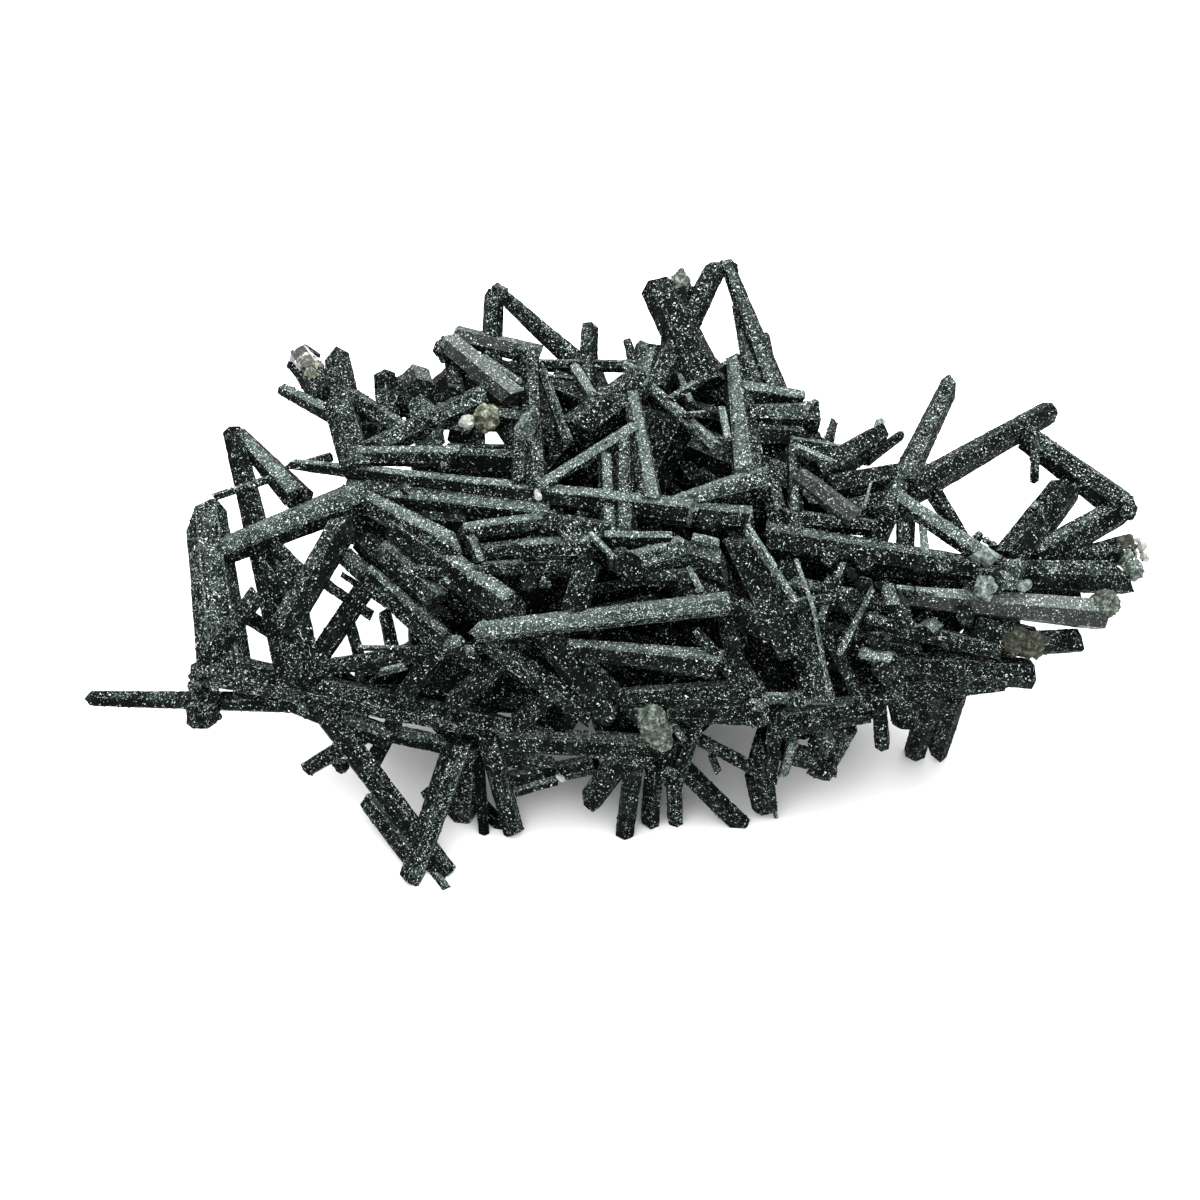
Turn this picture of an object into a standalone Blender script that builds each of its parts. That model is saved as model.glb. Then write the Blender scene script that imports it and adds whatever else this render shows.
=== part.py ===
# Chlorite quartz: a natural tangle of long six-sided quartz crystals, coated in green-black chlorite,
# that grew through one another. Uncoated clear ends and pale milky ends stick out of it.
import math
import random

import bmesh
import bpy
from mathutils import Vector

# driving dimensions, in millimetres and degrees
LEAN = 40.0          # how far the drawing plane of the table leans back from upright
MIDDLE_HEIGHT = 22.0  # height of the drawing plane's middle above the resting plane
ASIDE = -1.8         # where that middle lies, so that the cluster's box is centred
BACK = -4.85
SIGHT = 833.0        # the drawing plane is laid out in perspective from this far away
FACE_PEAK = 17.0     # how far the front of the mass bulges out of the drawing plane
FACE_LONG = 0.0035   # how fast that bulge falls off along the cluster
FACE_TALL = 0.0245   # how fast it falls off up and down
FACE_REACH = 32.0    # beyond this distance up or down it falls off no further
FLATNESS = 0.9       # thickness of a crystal as a share of its width
GAP = 0.3            # clearance of a piece of another material
SHAPE_SEED = 7       # for the small unevenness of the crystals
COAT_COLOUR = (0.02, 0.035, 0.03)
CLEAR_COLOUR = (0.86, 0.9, 0.9)
PALE_COLOUR = (0.62, 0.6, 0.47)
FLOOR = -99.0        # a depth this low means: down to the resting plane

# One crystal a row: across, up, depth and width at one end, the same at the other end, and the other
# end's form. Depth is counted from the bulging front of the mass, towards the front.
# Forms: "b" broken off square, "p" six-faced point, "s" broken off on a slant.
LEFT_END = [
    (-36.0, -12.8, -3.0, 3.0, -64.5, -12.3, -1.0, 2.1, "p"),
    (-49.3, -8.3, -2.5, 3.6, -49.8, -15.6, -1.0, 3.8, "b"),
    (-49.2, -8.4, 0.0, 4.4, 7.0, -20.0, -1.0, 2.4, "s"),
    (-46.8, -9.3, -1.0, 6.2, -49.4, 12.2, 0.0, 4.6, "s"),
    (-38.5, -9.8, 1.0, 3.8, -45.9, 21.2, 1.2, 2.5, "b"),
    (-37.6, 12.6, -1.9, 3.6, -45.3, 20.9, -0.9, 1.9, "b"),
    (-26.0, 14.4, -2.2, 4.4, -47.2, 6.0, -1.8, 3.4, "b"),
    (-41.0, 15.2, -1.0, 1.0, -48.4, 12.8, -0.5, 0.9, "b"),
    (-39.5, -3.5, -1.0, 3.4, -31.2, 10.7, 1.2, 3.6, "p"),
    (-36.0, -10.5, -1.0, 3.2, -39.2, 5.0, -0.5, 3.0, "b"),
    (-42.8, 0.8, 1.8, 2.3, -48.8, -7.4, 1.4, 2.5, "b"),
    (-31.5, 13.5, -2.5, 3.4, -6.0, 10.6, -2.0, 3.4, "b"),
]
LEFT_LATTICE = [
    (-20.5, -4.6, -4.0, 1.4, -32.4, 3.3, -4.0, 0.7, "b"),
    (-28.5, -2.0, -4.0, 1.2, -35.4, 2.8, -3.0, 1.2, "b"),
    (-29.0, 2.0, -4.0, 2.8, -35.4, -7.4, -3.0, 2.8, "b"),
    (-31.9, -0.8, -4.6, 1.6, -29.4, -9.4, -3.0, 1.6, "b"),
    (-26.9, -1.6, -4.0, 1.7, -25.4, -8.6, -3.0, 1.7, "b"),
    (-32.0, 5.6, -2.6, 2.6, -18.5, -6.4, -2.0, 3.8, "b"),
    (-37.0, -8.8, -3.0, 2.4, -19.0, -6.2, -2.0, 2.4, "b"),
    (-24.8, -12.4, -2.0, 2.2, -19.0, -4.8, -2.0, 2.2, "b"),
]
UPPER_LEFT = [
    (-33.9, 24.8, -0.8, 3.8, -35.9, 28.1, -1.0, 3.6, "b"),
    (-31.5, 23.0, 0.2, 3.8, -33.0, 30.3, 0.0, 3.4, "s"),
    (-30.2, 16.0, 1.0, 4.2, -32.6, 24.3, 1.5, 4.0, "b"),
    (-32.0, 22.3, -0.6, 2.6, -40.2, 26.6, -0.4, 1.7, "p"),
    (-24.0, 20.6, 0.0, 2.4, -31.5, 25.8, 0.8, 1.9, "b"),
    (-26.2, 20.5, -2.0, 3.4, -26.9, 27.8, -1.0, 3.2, "b"),
    (-21.4, 20.5, -1.0, 3.9, -22.7, 27.5, 0.0, 3.2, "b"),
    (-31.0, 17.6, 0.5, 3.0, -13.4, 25.8, -0.2, 3.6, "b"),
    (-31.0, 17.9, 1.8, 2.3, -17.2, 18.0, 1.0, 2.5, "b"),
    (11.5, 10.9, 2.0, 3.4, -39.3, 17.1, 2.4, 1.3, "s"),
    (-24.0, 23.2, -4.0, 3.0, -8.0, 22.4, -4.0, 3.0, "b"),
]
TOP_LEFT = [
    (-13.6, 29.5, -2.0, 2.7, -13.2, 38.8, -4.0, 2.3, "b"),
    (-2.6, 29.4, -2.0, 2.6, -12.5, 38.3, -5.0, 1.6, "s"),
    (-7.5, 30.6, -2.0, 2.5, -18.3, 33.1, -1.0, 2.5, "b"),
    (-10.6, 25.2, 0.6, 3.5, -18.9, 32.2, 1.0, 3.2, "b"),
    (-17.3, 22.5, -1.5, 2.2, -18.7, 30.6, -1.0, 1.8, "b"),
    (-9.5, 29.3, -0.4, 1.8, 4.6, 29.2, -1.2, 1.8, "b"),
    (-1.6, 26.5, -3.0, 2.6, -1.3, 34.0, -4.0, 2.3, "b"),
    (-10.0, 14.3, 0.8, 2.2, -9.6, 21.4, 0.8, 2.6, "b"),
    (-7.9, 14.0, 2.0, 2.4, -8.9, 31.0, -0.6, 2.3, "b"),
    (4.8, 26.8, -0.8, 4.2, -4.2, 20.3, -0.8, 4.2, "b"),
    (4.3, 21.5, 1.4, 1.6, -7.6, 14.2, 2.5, 1.4, "b"),
    (6.4, 12.2, 2.0, 2.6, 3.6, 27.6, 0.4, 1.8, "p"),
    (4.6, 28.6, -1.8, 1.6, 3.3, 32.6, -2.6, 0.9, "b"),
    (14.7, 18.9, 0.4, 1.8, 2.8, 29.7, 0.6, 1.4, "b"),
    (1.3, 8.0, 1.0, 2.4, 0.8, 17.9, 0.4, 2.0, "b"),
    (3.2, 8.0, 2.0, 2.6, 3.1, 19.8, 0.8, 2.2, "b"),
]
TOP_CENTRE = [
    (13.4, 26.5, -2.0, 5.0, 7.2, 39.3, -4.0, 4.4, "b"),
    (6.6, 26.0, -2.2, 3.6, 14.9, 42.3, -6.5, 2.5, "p"),
    (9.3, 30.0, -3.0, 3.6, 10.1, 39.3, -4.0, 3.4, "b"),
    (21.9, 26.0, -2.0, 3.0, 15.9, 41.9, -6.0, 1.6, "s"),
    (19.6, 25.5, -2.2, 2.8, 17.1, 36.6, -4.6, 1.3, "s"),
    (18.7, 15.0, 1.0, 4.2, 16.9, 29.8, -0.8, 2.7, "b"),
    (16.3, 29.6, -0.4, 1.4, 8.4, 24.8, 0.8, 1.3, "b"),
    (4.4, 26.0, -3.0, 2.2, 5.5, 31.8, -3.0, 2.0, "b"),
    (17.5, 26.1, -0.6, 2.6, 25.4, 24.9, -2.0, 2.4, "b"),
    (18.2, 22.9, -0.6, 3.6, 27.0, 22.7, -1.6, 4.4, "b"),
    (18.5, 20.6, -2.0, 3.2, 25.6, 20.0, -2.6, 3.0, "b"),
    (28.0, 17.5, -4.0, 1.9, 29.3, 22.6, -5.0, 1.0, "s"),
    (23.6, 19.5, -1.2, 2.0, 30.0, 18.3, -2.6, 2.2, "b"),
]
CENTRE_LEFT = [
    (-19.2, -4.8, -0.6, 2.4, -29.2, 4.0, -0.4, 1.8, "b"),
    (-20.4, -0.2, -0.6, 3.6, -27.8, 6.6, -0.8, 3.4, "b"),
    (-28.6, 11.9, 1.2, 2.8, -17.2, 5.8, 1.6, 3.6, "p"),
    (-25.4, 8.8, 0.0, 3.6, -10.0, -2.2, 1.6, 4.6, "b"),
    (-5.4, 10.0, -1.0, 2.4, -18.0, 8.3, -1.2, 2.4, "b"),
    (-4.5, 7.0, -0.4, 2.3, -16.0, 5.6, -0.7, 2.3, "b"),
    (-14.6, 3.6, -0.6, 2.4, -2.6, 4.2, -0.6, 2.4, "b"),
    (-24.8, 3.4, 0.0, 1.9, -13.6, 3.5, 1.0, 1.7, "b"),
    (1.2, 8.4, 1.4, 2.6, -7.4, 9.8, 1.4, 2.6, "b"),
    (-9.6, 6.1, 0.6, 2.6, 1.4, 6.6, 1.6, 3.2, "s"),
    (-3.3, -1.8, 1.0, 3.4, -1.2, 5.4, 1.0, 3.0, "b"),
    (16.0, -0.4, 1.6, 3.0, -16.4, -4.1, 3.0, 2.6, "p"),
]
LOWER_CENTRE = [
    (-15.4, -4.2, 0.6, 2.8, -0.6, -14.9, 1.6, 3.0, "b"),
    (-7.4, -3.4, 0.4, 3.4, 1.4, -14.9, 2.2, 3.6, "s"),
    (-2.4, -7.0, 1.6, 1.5, 5.6, -15.2, 2.6, 1.8, "b"),
    (-3.6, -9.7, 0.4, 2.0, -11.0, -15.9, 1.0, 2.4, "b"),
    (-9.6, -5.2, -1.6, 2.8, -18.6, -13.2, -1.6, 3.0, "b"),
    (7.4, -18.4, -1.4, 3.2, -13.4, -17.3, -2.6, 3.2, "b"),
    (-4.2, -5.9, 1.4, 2.0, 15.5, -8.2, 1.4, 3.6, "b"),
    (16.8, -9.8, 2.0, 1.6, 11.9, -3.6, 2.0, 1.2, "b"),
    (17.5, -9.0, 2.2, 2.0, 16.0, -2.2, 1.4, 1.4, "b"),
    (20.4, -12.9, 1.0, 2.2, 16.4, -6.6, 1.6, 1.8, "b"),
    (2.4, -12.3, 1.2, 2.4, 21.0, -11.2, 0.4, 3.2, "b"),
    (8.6, -14.2, 0.0, 1.8, 20.3, -14.0, 0.4, 3.2, "b"),
    (9.3, -23.2, 1.2, 2.0, 12.5, -14.6, 0.0, 1.4, "b"),
    (7.9, -15.8, -0.2, 1.4, 8.8, -23.2, 1.2, 1.6, "b"),
]
CENTRE_RIGHT = [
    (8.2, 11.6, 0.6, 2.2, 20.8, 15.0, 0.8, 4.2, "b"),
    (27.3, -12.7, 2.0, 4.4, 20.8, 17.0, 1.4, 2.0, "b"),
    (24.4, -7.0, 0.8, 4.6, 16.8, 8.4, 2.0, 4.0, "b"),
    (3.6, 11.4, 0.4, 2.8, 19.5, 10.0, -0.2, 3.0, "b"),
    (10.4, 6.4, 1.0, 3.2, 3.4, 4.2, 2.4, 3.0, "b"),
    (9.0, 6.2, -0.6, 3.4, 16.6, 3.6, 0.0, 4.6, "b"),
    (6.0, 2.8, -0.2, 2.4, 12.7, 2.7, 1.0, 2.9, "b"),
    (9.8, 1.6, -0.6, 3.4, 22.4, -3.8, 0.0, 3.6, "b"),
    (31.8, 10.2, 0.6, 2.5, 24.5, 15.7, 0.6, 2.2, "b"),
    (24.6, 7.8, 0.0, 2.2, 24.1, 19.5, -0.6, 1.7, "b"),
    (20.8, 7.6, -0.8, 4.4, 51.2, 3.1, 0.5, 3.2, "b"),
    (23.0, 10.0, -1.2, 3.0, 34.6, 9.0, -1.2, 2.2, "b"),
    (22.6, 1.7, -1.4, 3.0, 39.0, -1.8, -0.8, 3.2, "b"),
    (38.2, -3.4, 1.0, 2.4, 35.0, 2.5, 1.0, 1.6, "b"),
    (32.6, -2.4, 1.0, 2.0, 50.6, -6.5, 0.0, 2.0, "b"),
    (33.2, -13.7, 1.0, 1.7, 28.2, -4.0, 1.0, 1.5, "b"),
    (38.5, -12.0, 1.0, 2.4, 33.0, -5.8, 1.4, 2.6, "s"),
    (26.5, -4.0, -2.4, 3.4, 41.0, -7.4, -2.4, 3.4, "b"),
]
RIGHT_TOP = [
    (27.0, 15.4, -1.6, 4.4, 35.2, 20.4, -3.0, 3.6, "s"),
    (28.0, 13.6, -1.6, 4.2, 37.4, 15.6, -2.4, 3.4, "b"),
    (35.7, 10.4, 0.0, 3.2, 43.9, 27.2, -3.0, 2.3, "s"),
    (38.4, 13.4, -0.6, 3.8, 57.0, 24.0, -3.0, 2.9, "p"),
    (45.4, 7.6, -2.6, 1.8, 40.8, 14.8, -2.0, 2.4, "b"),
    (37.2, 12.6, 0.9, 2.2, 48.8, 4.9, 1.9, 2.5, "s"),
    (38.1, 5.4, -0.8, 2.2, 38.3, 12.8, -0.8, 2.4, "b"),
]
RIGHT_END = [
    (64.9, 11.8, -1.0, 4.0, 52.8, 20.6, -2.2, 3.2, "b"),
    (54.4, 21.8, -0.8, 1.3, 54.3, 15.0, -0.2, 1.3, "b"),
    (53.4, 4.6, -2.0, 3.8, 65.7, 11.6, -1.8, 3.2, "b"),
    (50.8, 4.4, -1.0, 4.6, 58.4, 14.2, -2.2, 4.0, "b"),
    (46.6, 3.2, -0.4, 3.6, 67.0, 2.8, -0.4, 4.4, "s"),
    (55.6, 4.6, -2.0, 1.8, 66.6, 7.4, -2.4, 2.0, "b"),
    (60.5, 5.2, -1.8, 1.8, 65.7, 5.8, -1.9, 2.9, "b"),
    (36.4, 0.7, 0.6, 2.4, 62.9, -1.8, 0.8, 4.1, "b"),
    (46.0, -3.8, -1.2, 4.0, 55.6, -5.6, -0.4, 3.4, "p"),
    (50.0, -5.6, -2.0, 3.0, 60.3, -5.0, -2.0, 2.8, "s"),
    (35.5, -8.0, -0.6, 3.4, 54.1, -9.2, -1.0, 3.9, "s"),
    (31.5, -12.2, -0.6, 3.0, 50.4, -10.3, -1.6, 2.2, "b"),
]
LEGS = [
    (-34.8, -13.4, -3.0, 3.0, -19.1, -34.4, FLOOR, 3.0, "b"),
    (-28.6, -25.2, -1.0, 3.0, -22.8, -32.8, -1.0, 3.0, "b"),
    (-17.6, -17.5, -3.0, 3.8, -23.9, -35.5, FLOOR, 3.2, "b"),
    (-23.6, -30.5, FLOOR, 1.8, -19.1, -36.4, FLOOR, 1.5, "b"),
    (-29.0, -16.6, -4.0, 2.2, -36.9, -21.3, -4.0, 1.8, "b"),
    (-25.6, -15.0, -3.6, 1.9, -29.4, -22.2, -3.0, 1.8, "b"),
    (-27.5, -16.4, -4.0, 2.4, -5.0, -21.0, -4.0, 2.4, "b"),
    (-26.0, -17.4, -3.0, 3.0, -38.8, -12.4, -3.0, 3.0, "b"),
    (-14.2, -16.5, -2.4, 2.8, -10.6, -29.6, FLOOR, 2.6, "b"),
    (-16.4, -17.5, -3.4, 3.0, -17.3, -27.4, FLOOR, 3.4, "b"),
    (-12.8, -22.8, -3.0, 2.2, 0.0, -20.4, -5.0, 2.3, "b"),
    (3.6, -18.4, -3.0, 3.6, -1.4, -25.3, -2.0, 3.0, "b"),
    (4.6, -18.0, -2.4, 2.6, 3.0, -29.5, FLOOR, 2.4, "b"),
    (7.0, -18.0, -2.6, 2.4, 6.2, -28.2, FLOOR, 2.3, "b"),
    (9.1, -17.0, -1.8, 2.1, 9.4, -28.0, FLOOR, 1.9, "b"),
    (9.0, -15.6, -1.8, 1.8, 20.8, -21.9, -1.0, 2.0, "b"),
    (7.6, -18.2, -2.2, 2.8, 17.6, -28.1, FLOOR, 2.8, "b"),
    (20.2, -18.4, -2.0, 2.6, 21.2, -27.4, FLOOR, 2.3, "s"),
    (22.0, -13.0, 0.4, 2.0, 21.4, -23.0, 0.0, 1.5, "b"),
    (21.2, -15.7, -0.6, 3.2, 33.6, -13.4, -0.6, 3.4, "b"),
    (30.6, -15.0, -2.0, 3.6, 26.8, -23.0, -2.0, 2.6, "s"),
    (23.4, -19.0, -3.0, 2.6, 29.8, -20.9, -3.0, 2.5, "b"),
    (34.7, -11.0, 0.0, 2.0, 35.3, -18.3, 0.0, 2.0, "b"),
    (44.3, -11.5, -3.0, 2.9, 41.9, -19.6, FLOOR, 2.4, "s"),
    (41.8, -11.0, -2.6, 2.9, 39.2, -19.4, FLOOR, 2.6, "b"),
    (37.4, -11.0, -2.8, 3.4, 38.4, -16.2, -3.0, 3.0, "b"),
]
# Long crystals out of sight behind the mass, that stand on the resting plane.
BACK_LEGS = [
    (-12.0, 12.0, -14.0, 4.6, -21.0, -4.0, FLOOR, 4.0, "b"),
    (19.0, 12.0, -14.0, 4.8, 29.0, -4.0, FLOOR, 4.2, "b"),
    (2.0, 18.0, -14.0, 4.6, 9.0, 3.0, FLOOR, 4.2, "b"),
    (40.0, 4.0, -8.0, 4.0, 30.0, -9.0, FLOOR, 3.6, "b"),
]
# Ends and lumps that no chlorite covers, in the same way, with the name of each.
UNCOATED = {
    "clear_tip_left": (-35.8, 28.0, -1.0, 3.7, -38.1, 31.5, -1.4, 3.1, "p"),
    "clear_tip_right": (65.0, 6.2, -2.2, 3.3, 68.2, 5.6, -2.2, 3.0, "s"),
    "pale_tip_top": (9.9, 38.6, -3.6, 2.4, 10.2, 41.5, -4.0, 2.2, "p"),
    "pale_tip_front": (6.8, -13.2, 2.8, 3.3, 7.9, -19.3, 3.4, 3.1, "p"),
    "pale_tip_right": (61.2, -0.1, 1.9, 3.0, 65.2, -0.6, 1.4, 3.2, "p"),
    "pale_lump": (-16.2, 22.9, 1.4, 3.2, -12.3, 22.7, 1.2, 3.6, "p"),
}
TABLE = (LEFT_END + LEFT_LATTICE + UPPER_LEFT + TOP_LEFT + TOP_CENTRE + CENTRE_LEFT + LOWER_CENTRE
         + CENTRE_RIGHT + RIGHT_TOP + RIGHT_END + LEGS + BACK_LEGS)

# Outline of the mass, across and up, that the crystals behind the front stay inside.
OUTLINE = [
    (-50, -14), (-46, 8), (-38, 13), (-32, 24), (-20, 26), (-17, 30), (-8, 30), (5, 30), (8, 34), (13, 32),
    (20, 28), (26, 23), (30, 18), (37, 17), (44, 12), (50, 4), (56, 7), (63, 8), (65, 2), (58, -3), (53, -9),
    (45, -12), (38, -15), (31, -15), (26, -21), (12, -22), (6, -22), (0, -21), (-8, -21), (-16, -22),
    (-20, -19), (-25, -17), (-36, -14),
]
# Places where one can see right through: across, up and radius.
SEE_THROUGH = [
    (-45.0, 2.4, 1.6), (-40.3, 5.6, 1.2), (-37.7, 8.6, 1.6), (-31.8, 4.4, 2.2), (-34.2, -0.6, 2.2),
    (-32.4, -6.2, 1.8), (-28.6, -3.8, 2.4), (-36.2, 15.3, 1.2), (-42.0, 12.0, 1.8), (-43.4, 15.6, 0.8),
    (-25.4, -20.5, 3.4), (-22.3, -15.9, 1.0), (-29.2, -18.4, 1.2), (-1.6, -19.7, 0.8), (14.8, -17.4, 1.2),
    (14.0, -20.6, 1.2), (36.1, 7.8, 0.9), (39.5, 6.3, 0.5), (42.0, 7.3, 1.6), (41.6, 11.2, 0.8),
    (60.1, 5.3, 1.6), (59.3, 10.6, 1.2), (25.9, -19.4, 0.7), (-20.5, 19.7, 0.6), (-13.2, 20.0, 0.7),
    (52.0, 13.0, 6.5), (46.5, 9.5, 3.0),
]
# Crystals behind the front, in layers: how many, the shares of the depth that the first and the second
# end lie in, widths, lengths.
FILLER_LAYERS = (
    (12, (0.14, 0.38), (0.14, 0.38), (4.6, 6.0), (22.0, 42.0)),
    (12, (0.15, 0.4), (0.65, 1.0), (3.8, 5.4), (8.0, 26.0)),
    (9, (0.6, 1.0), (0.6, 1.0), (3.6, 5.0), (20.0, 40.0)),
)
FILLER_SEED = 47
SPACING = 7.0        # middles of two such crystals are at least this far apart


def face(a, u):
    # how far the front of the mass stands out of the drawing plane
    tall = min(abs(u + 2.0), FACE_REACH)
    return FACE_PEAK - FACE_LONG * a * a - FACE_TALL * tall * tall


def spot(a, u, out, rest):
    # a point of the drawing plane, moved out towards the front, never lower than rest
    cos = math.cos(math.radians(LEAN))
    sin = math.sin(math.radians(LEAN))
    k = 1.0 - out / SIGHT
    if cos * u * k + sin * out + MIDDLE_HEIGHT < rest:
        out = (rest - MIDDLE_HEIGHT - cos * u) / (sin - cos * u / SIGHT)
        k = 1.0 - out / SIGHT
    return Vector((a * k + ASIDE, sin * u * k - cos * out + BACK, cos * u * k + sin * out + MIDDLE_HEIGHT))


def prism(name, p, q, w0, w1, form, rng, square=False):
    # a crystal from p to q as a closed mesh: flat sides, broken or pointed ends
    along = (q - p).normalized()
    view = Vector((0.0, -math.cos(math.radians(LEAN)), math.sin(math.radians(LEAN))))
    side = along.cross(view)
    if side.length < 0.1:
        side = along.cross(Vector((1.0, 0.0, 0.0)))
    side.normalize()
    out = side.cross(along).normalized()
    count = 4 if square else 6
    roll = rng.uniform(0.0, 60.0)
    flat = FLATNESS * rng.uniform(0.9, 1.05)
    rim = []
    for i in range(count):
        turn = math.radians(roll + i * 360.0 / count)
        size = 0.599 if i % 3 else 0.546
        rim.append(side * (math.cos(turn) * size) + out * (math.sin(turn) * size * flat))
    length = (q - p).length
    tilt0 = rng.uniform(0.0, 0.5)
    tilt1 = {"b": rng.uniform(0.1, 0.5), "s": rng.uniform(0.9, 1.3), "p": 0.0}[form]
    way0 = rng.uniform(0.0, math.tau)
    way1 = rng.uniform(0.0, math.tau)
    shoulder = 0.55 * w1 if form == "p" else 0.0
    points = []
    for end, (w, tilt, way) in enumerate(((w0, tilt0, way0), (w1, tilt1, way1))):
        lean = (side * math.cos(way) + out * math.sin(way)) * tilt
        for r in rim:
            t = r.dot(lean) * w / length
            if end:
                t = 1.0 - shoulder / length + min(0.0, t - 0.5 * abs(tilt) * w / length)
            width = w0 + (w1 - w0) * t
            points.append(p + along * (t * length) + r * width)
    faces = [tuple(range(count))]
    for i in range(count):
        j = (i + 1) % count
        faces.append((j, i, count + i, count + j))
    if form == "p":
        points.append(q + rim[0] * (w1 * rng.uniform(0.0, 0.3)))
        for i in range(count):
            faces.append((count + (i + 1) % count, count + i, 2 * count))
    else:
        faces.append(tuple(reversed(range(count, 2 * count))))
    mesh = bpy.data.meshes.new(name)
    mesh.from_pydata([v * 0.001 for v in points], [], faces)
    mesh.update()
    thing = bpy.data.objects.new(name, mesh)
    bpy.context.scene.collection.objects.link(thing)
    return thing


def inside(a, u):
    # whether a point of the drawing plane lies inside the outline of the mass
    hit = False
    for i, (a0, u0) in enumerate(OUTLINE):
        a1, u1 = OUTLINE[i - 1]
        if (u0 > u) != (u1 > u) and a < a0 + (u - u0) * (a1 - a0) / (u1 - u0):
            hit = not hit
    return hit


def hidden(a0, u0, a1, u1, w):
    # whether a crystal of width w stays inside the outline and off every see-through place
    steps = 12
    for i in range(steps + 1):
        t = i / steps
        a = a0 + (a1 - a0) * t
        u = u0 + (u1 - u0) * t
        if not inside(a, u):
            return False
        for ga, gu, gr in SEE_THROUGH:
            if math.hypot(a - ga, u - gu) < gr + 0.5 * w:
                return False
    return True


def apart(p, q, r, s):
    # shortest distance between the segments p-q and r-s
    d1 = q - p
    d2 = s - r
    w = p - r
    a = d1.dot(d1)
    b = d1.dot(d2)
    c = d2.dot(d2)
    d = d1.dot(w)
    e = d2.dot(w)
    den = a * c - b * b
    t = min(max((b * e - c * d) / den, 0.0), 1.0) if den > 1e-6 else 0.0
    v = min(max((b * t + e) / c, 0.0), 1.0)
    t = min(max((b * v - d) / a, 0.0), 1.0)
    return (p + d1 * t - r - d2 * v).length


def behind(a, u, share):
    # depth of a point inside the mass: share 0 lies at its front, 1 at its back or its underside
    back = max(-24.0 - 0.15 * u, (2.0 - MIDDLE_HEIGHT - 0.766 * u) / 0.643, -34.0)
    return face(a, u) + (back - face(a, u)) * share


def filler_rows(taken, rng):
    # crystals behind the front, each crossing at least two that are already there
    rows = []
    for count, first, second, widths, lengths in FILLER_LAYERS:
        found = 0
        for _ in range(6000):
            if found == count:
                break
            w = rng.uniform(*widths)
            a = rng.uniform(-48.0, 62.0)
            u = rng.uniform(-20.0, 30.0)
            turn = rng.uniform(0.0, math.tau)
            half = 0.5 * rng.uniform(*lengths)
            ends = [(a - half * math.cos(turn), u - half * math.sin(turn)),
                    (a + half * math.cos(turn), u + half * math.sin(turn))]
            shares = (rng.uniform(*first), rng.uniform(*second))
            if not hidden(*ends[0], *ends[1], w):
                continue
            p, q = [spot(*end, behind(*end, share), 0.35 * w) for end, share in zip(ends, shares)]
            if sum(1 for t in taken if apart(p, q, t[0], t[1]) < 0.35 * (w + t[2])) < 2:
                continue
            middle = 0.5 * (p + q)
            if any((middle - 0.5 * (r[0] + r[1])).length < SPACING for r in rows):
                continue
            taken.append((p, q, w))
            rows.append((p, q, w, second[1] < 0.5))
            found += 1
    return rows


def flat_foot(thing):
    # what would sink below the resting plane is cut off flat on it
    mesh = thing.data
    if min(v.co.z for v in mesh.vertices) > -1e-6:
        return
    bm = bmesh.new()
    bm.from_mesh(mesh)
    everything = bm.verts[:] + bm.edges[:] + bm.faces[:]
    bmesh.ops.bisect_plane(bm, geom=everything, dist=1e-7, plane_co=(0, 0, 0), plane_no=(0, 0, -1),
                           clear_outer=True)
    bmesh.ops.edgeloop_fill(bm, edges=[e for e in bm.edges if e.is_boundary])
    bmesh.ops.recalc_face_normals(bm, faces=bm.faces[:])
    bm.to_mesh(mesh)
    bm.free()


def take_away_bits(thing):
    # keep the mass itself and drop the small closed hollows and crumbs that joining leaves
    bm = bmesh.new()
    bm.from_mesh(thing.data)
    bmesh.ops.remove_doubles(bm, verts=bm.verts[:], dist=2e-6)
    bmesh.ops.dissolve_degenerate(bm, edges=bm.edges[:], dist=2e-6)
    bm.verts.ensure_lookup_table()
    seen = set()
    islands = []
    for v in bm.verts:
        if v in seen:
            continue
        island = [v]
        seen.add(v)
        for w in island:
            for e in w.link_edges:
                o = e.other_vert(w)
                if o not in seen:
                    seen.add(o)
                    island.append(o)
        islands.append(island)
    islands.sort(key=len)
    for island in islands[:-1]:
        bmesh.ops.delete(bm, geom=island, context="VERTS")
    bm.to_mesh(thing.data)
    bm.free()


def join(thing, others, operation):
    # Boolean of a thing with a collection of closed meshes
    group = bpy.data.collections.new("operands")
    bpy.context.scene.collection.children.link(group)
    for other in others:
        group.objects.link(other)
    change = thing.modifiers.new("join", "BOOLEAN")
    change.operand_type = "COLLECTION"
    change.collection = group
    change.solver = "EXACT"
    change.operation = operation
    bpy.context.view_layer.update()
    mesh = bpy.data.meshes.new_from_object(thing.evaluated_get(bpy.context.evaluated_depsgraph_get()))
    thing.modifiers.clear()
    old = thing.data
    thing.data = mesh
    bpy.data.meshes.remove(old)
    for other in others:
        bpy.data.objects.remove(other)
    bpy.data.collections.remove(group)


def material(name, colour, rough):
    m = bpy.data.materials.new(name)
    m.use_nodes = True
    shader = m.node_tree.nodes["Principled BSDF"]
    shader.inputs["Base Color"].default_value = (*colour, 1.0)
    shader.inputs["Roughness"].default_value = rough
    shader.inputs["Metallic"].default_value = 0.0
    return m


def line(row):
    # the two ends of a crystal's axis; a foot reaches below the resting plane, to be cut off flat on it
    a0, u0, d0, w0, a1, u1, d1, w1, form = row
    p = spot(a0, u0, face(a0, u0) + d0, (-0.2 if d0 == FLOOR else 0.3) * w0)
    q = spot(a1, u1, face(a1, u1) + d1, (-0.2 if d1 == FLOOR else 0.3) * w1)
    return p, q


def crystal(name, row, rng):
    # a crystal from a row of the table
    p, q = line(row)
    return prism(name, p, q, row[3], row[7], row[8], rng)


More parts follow.
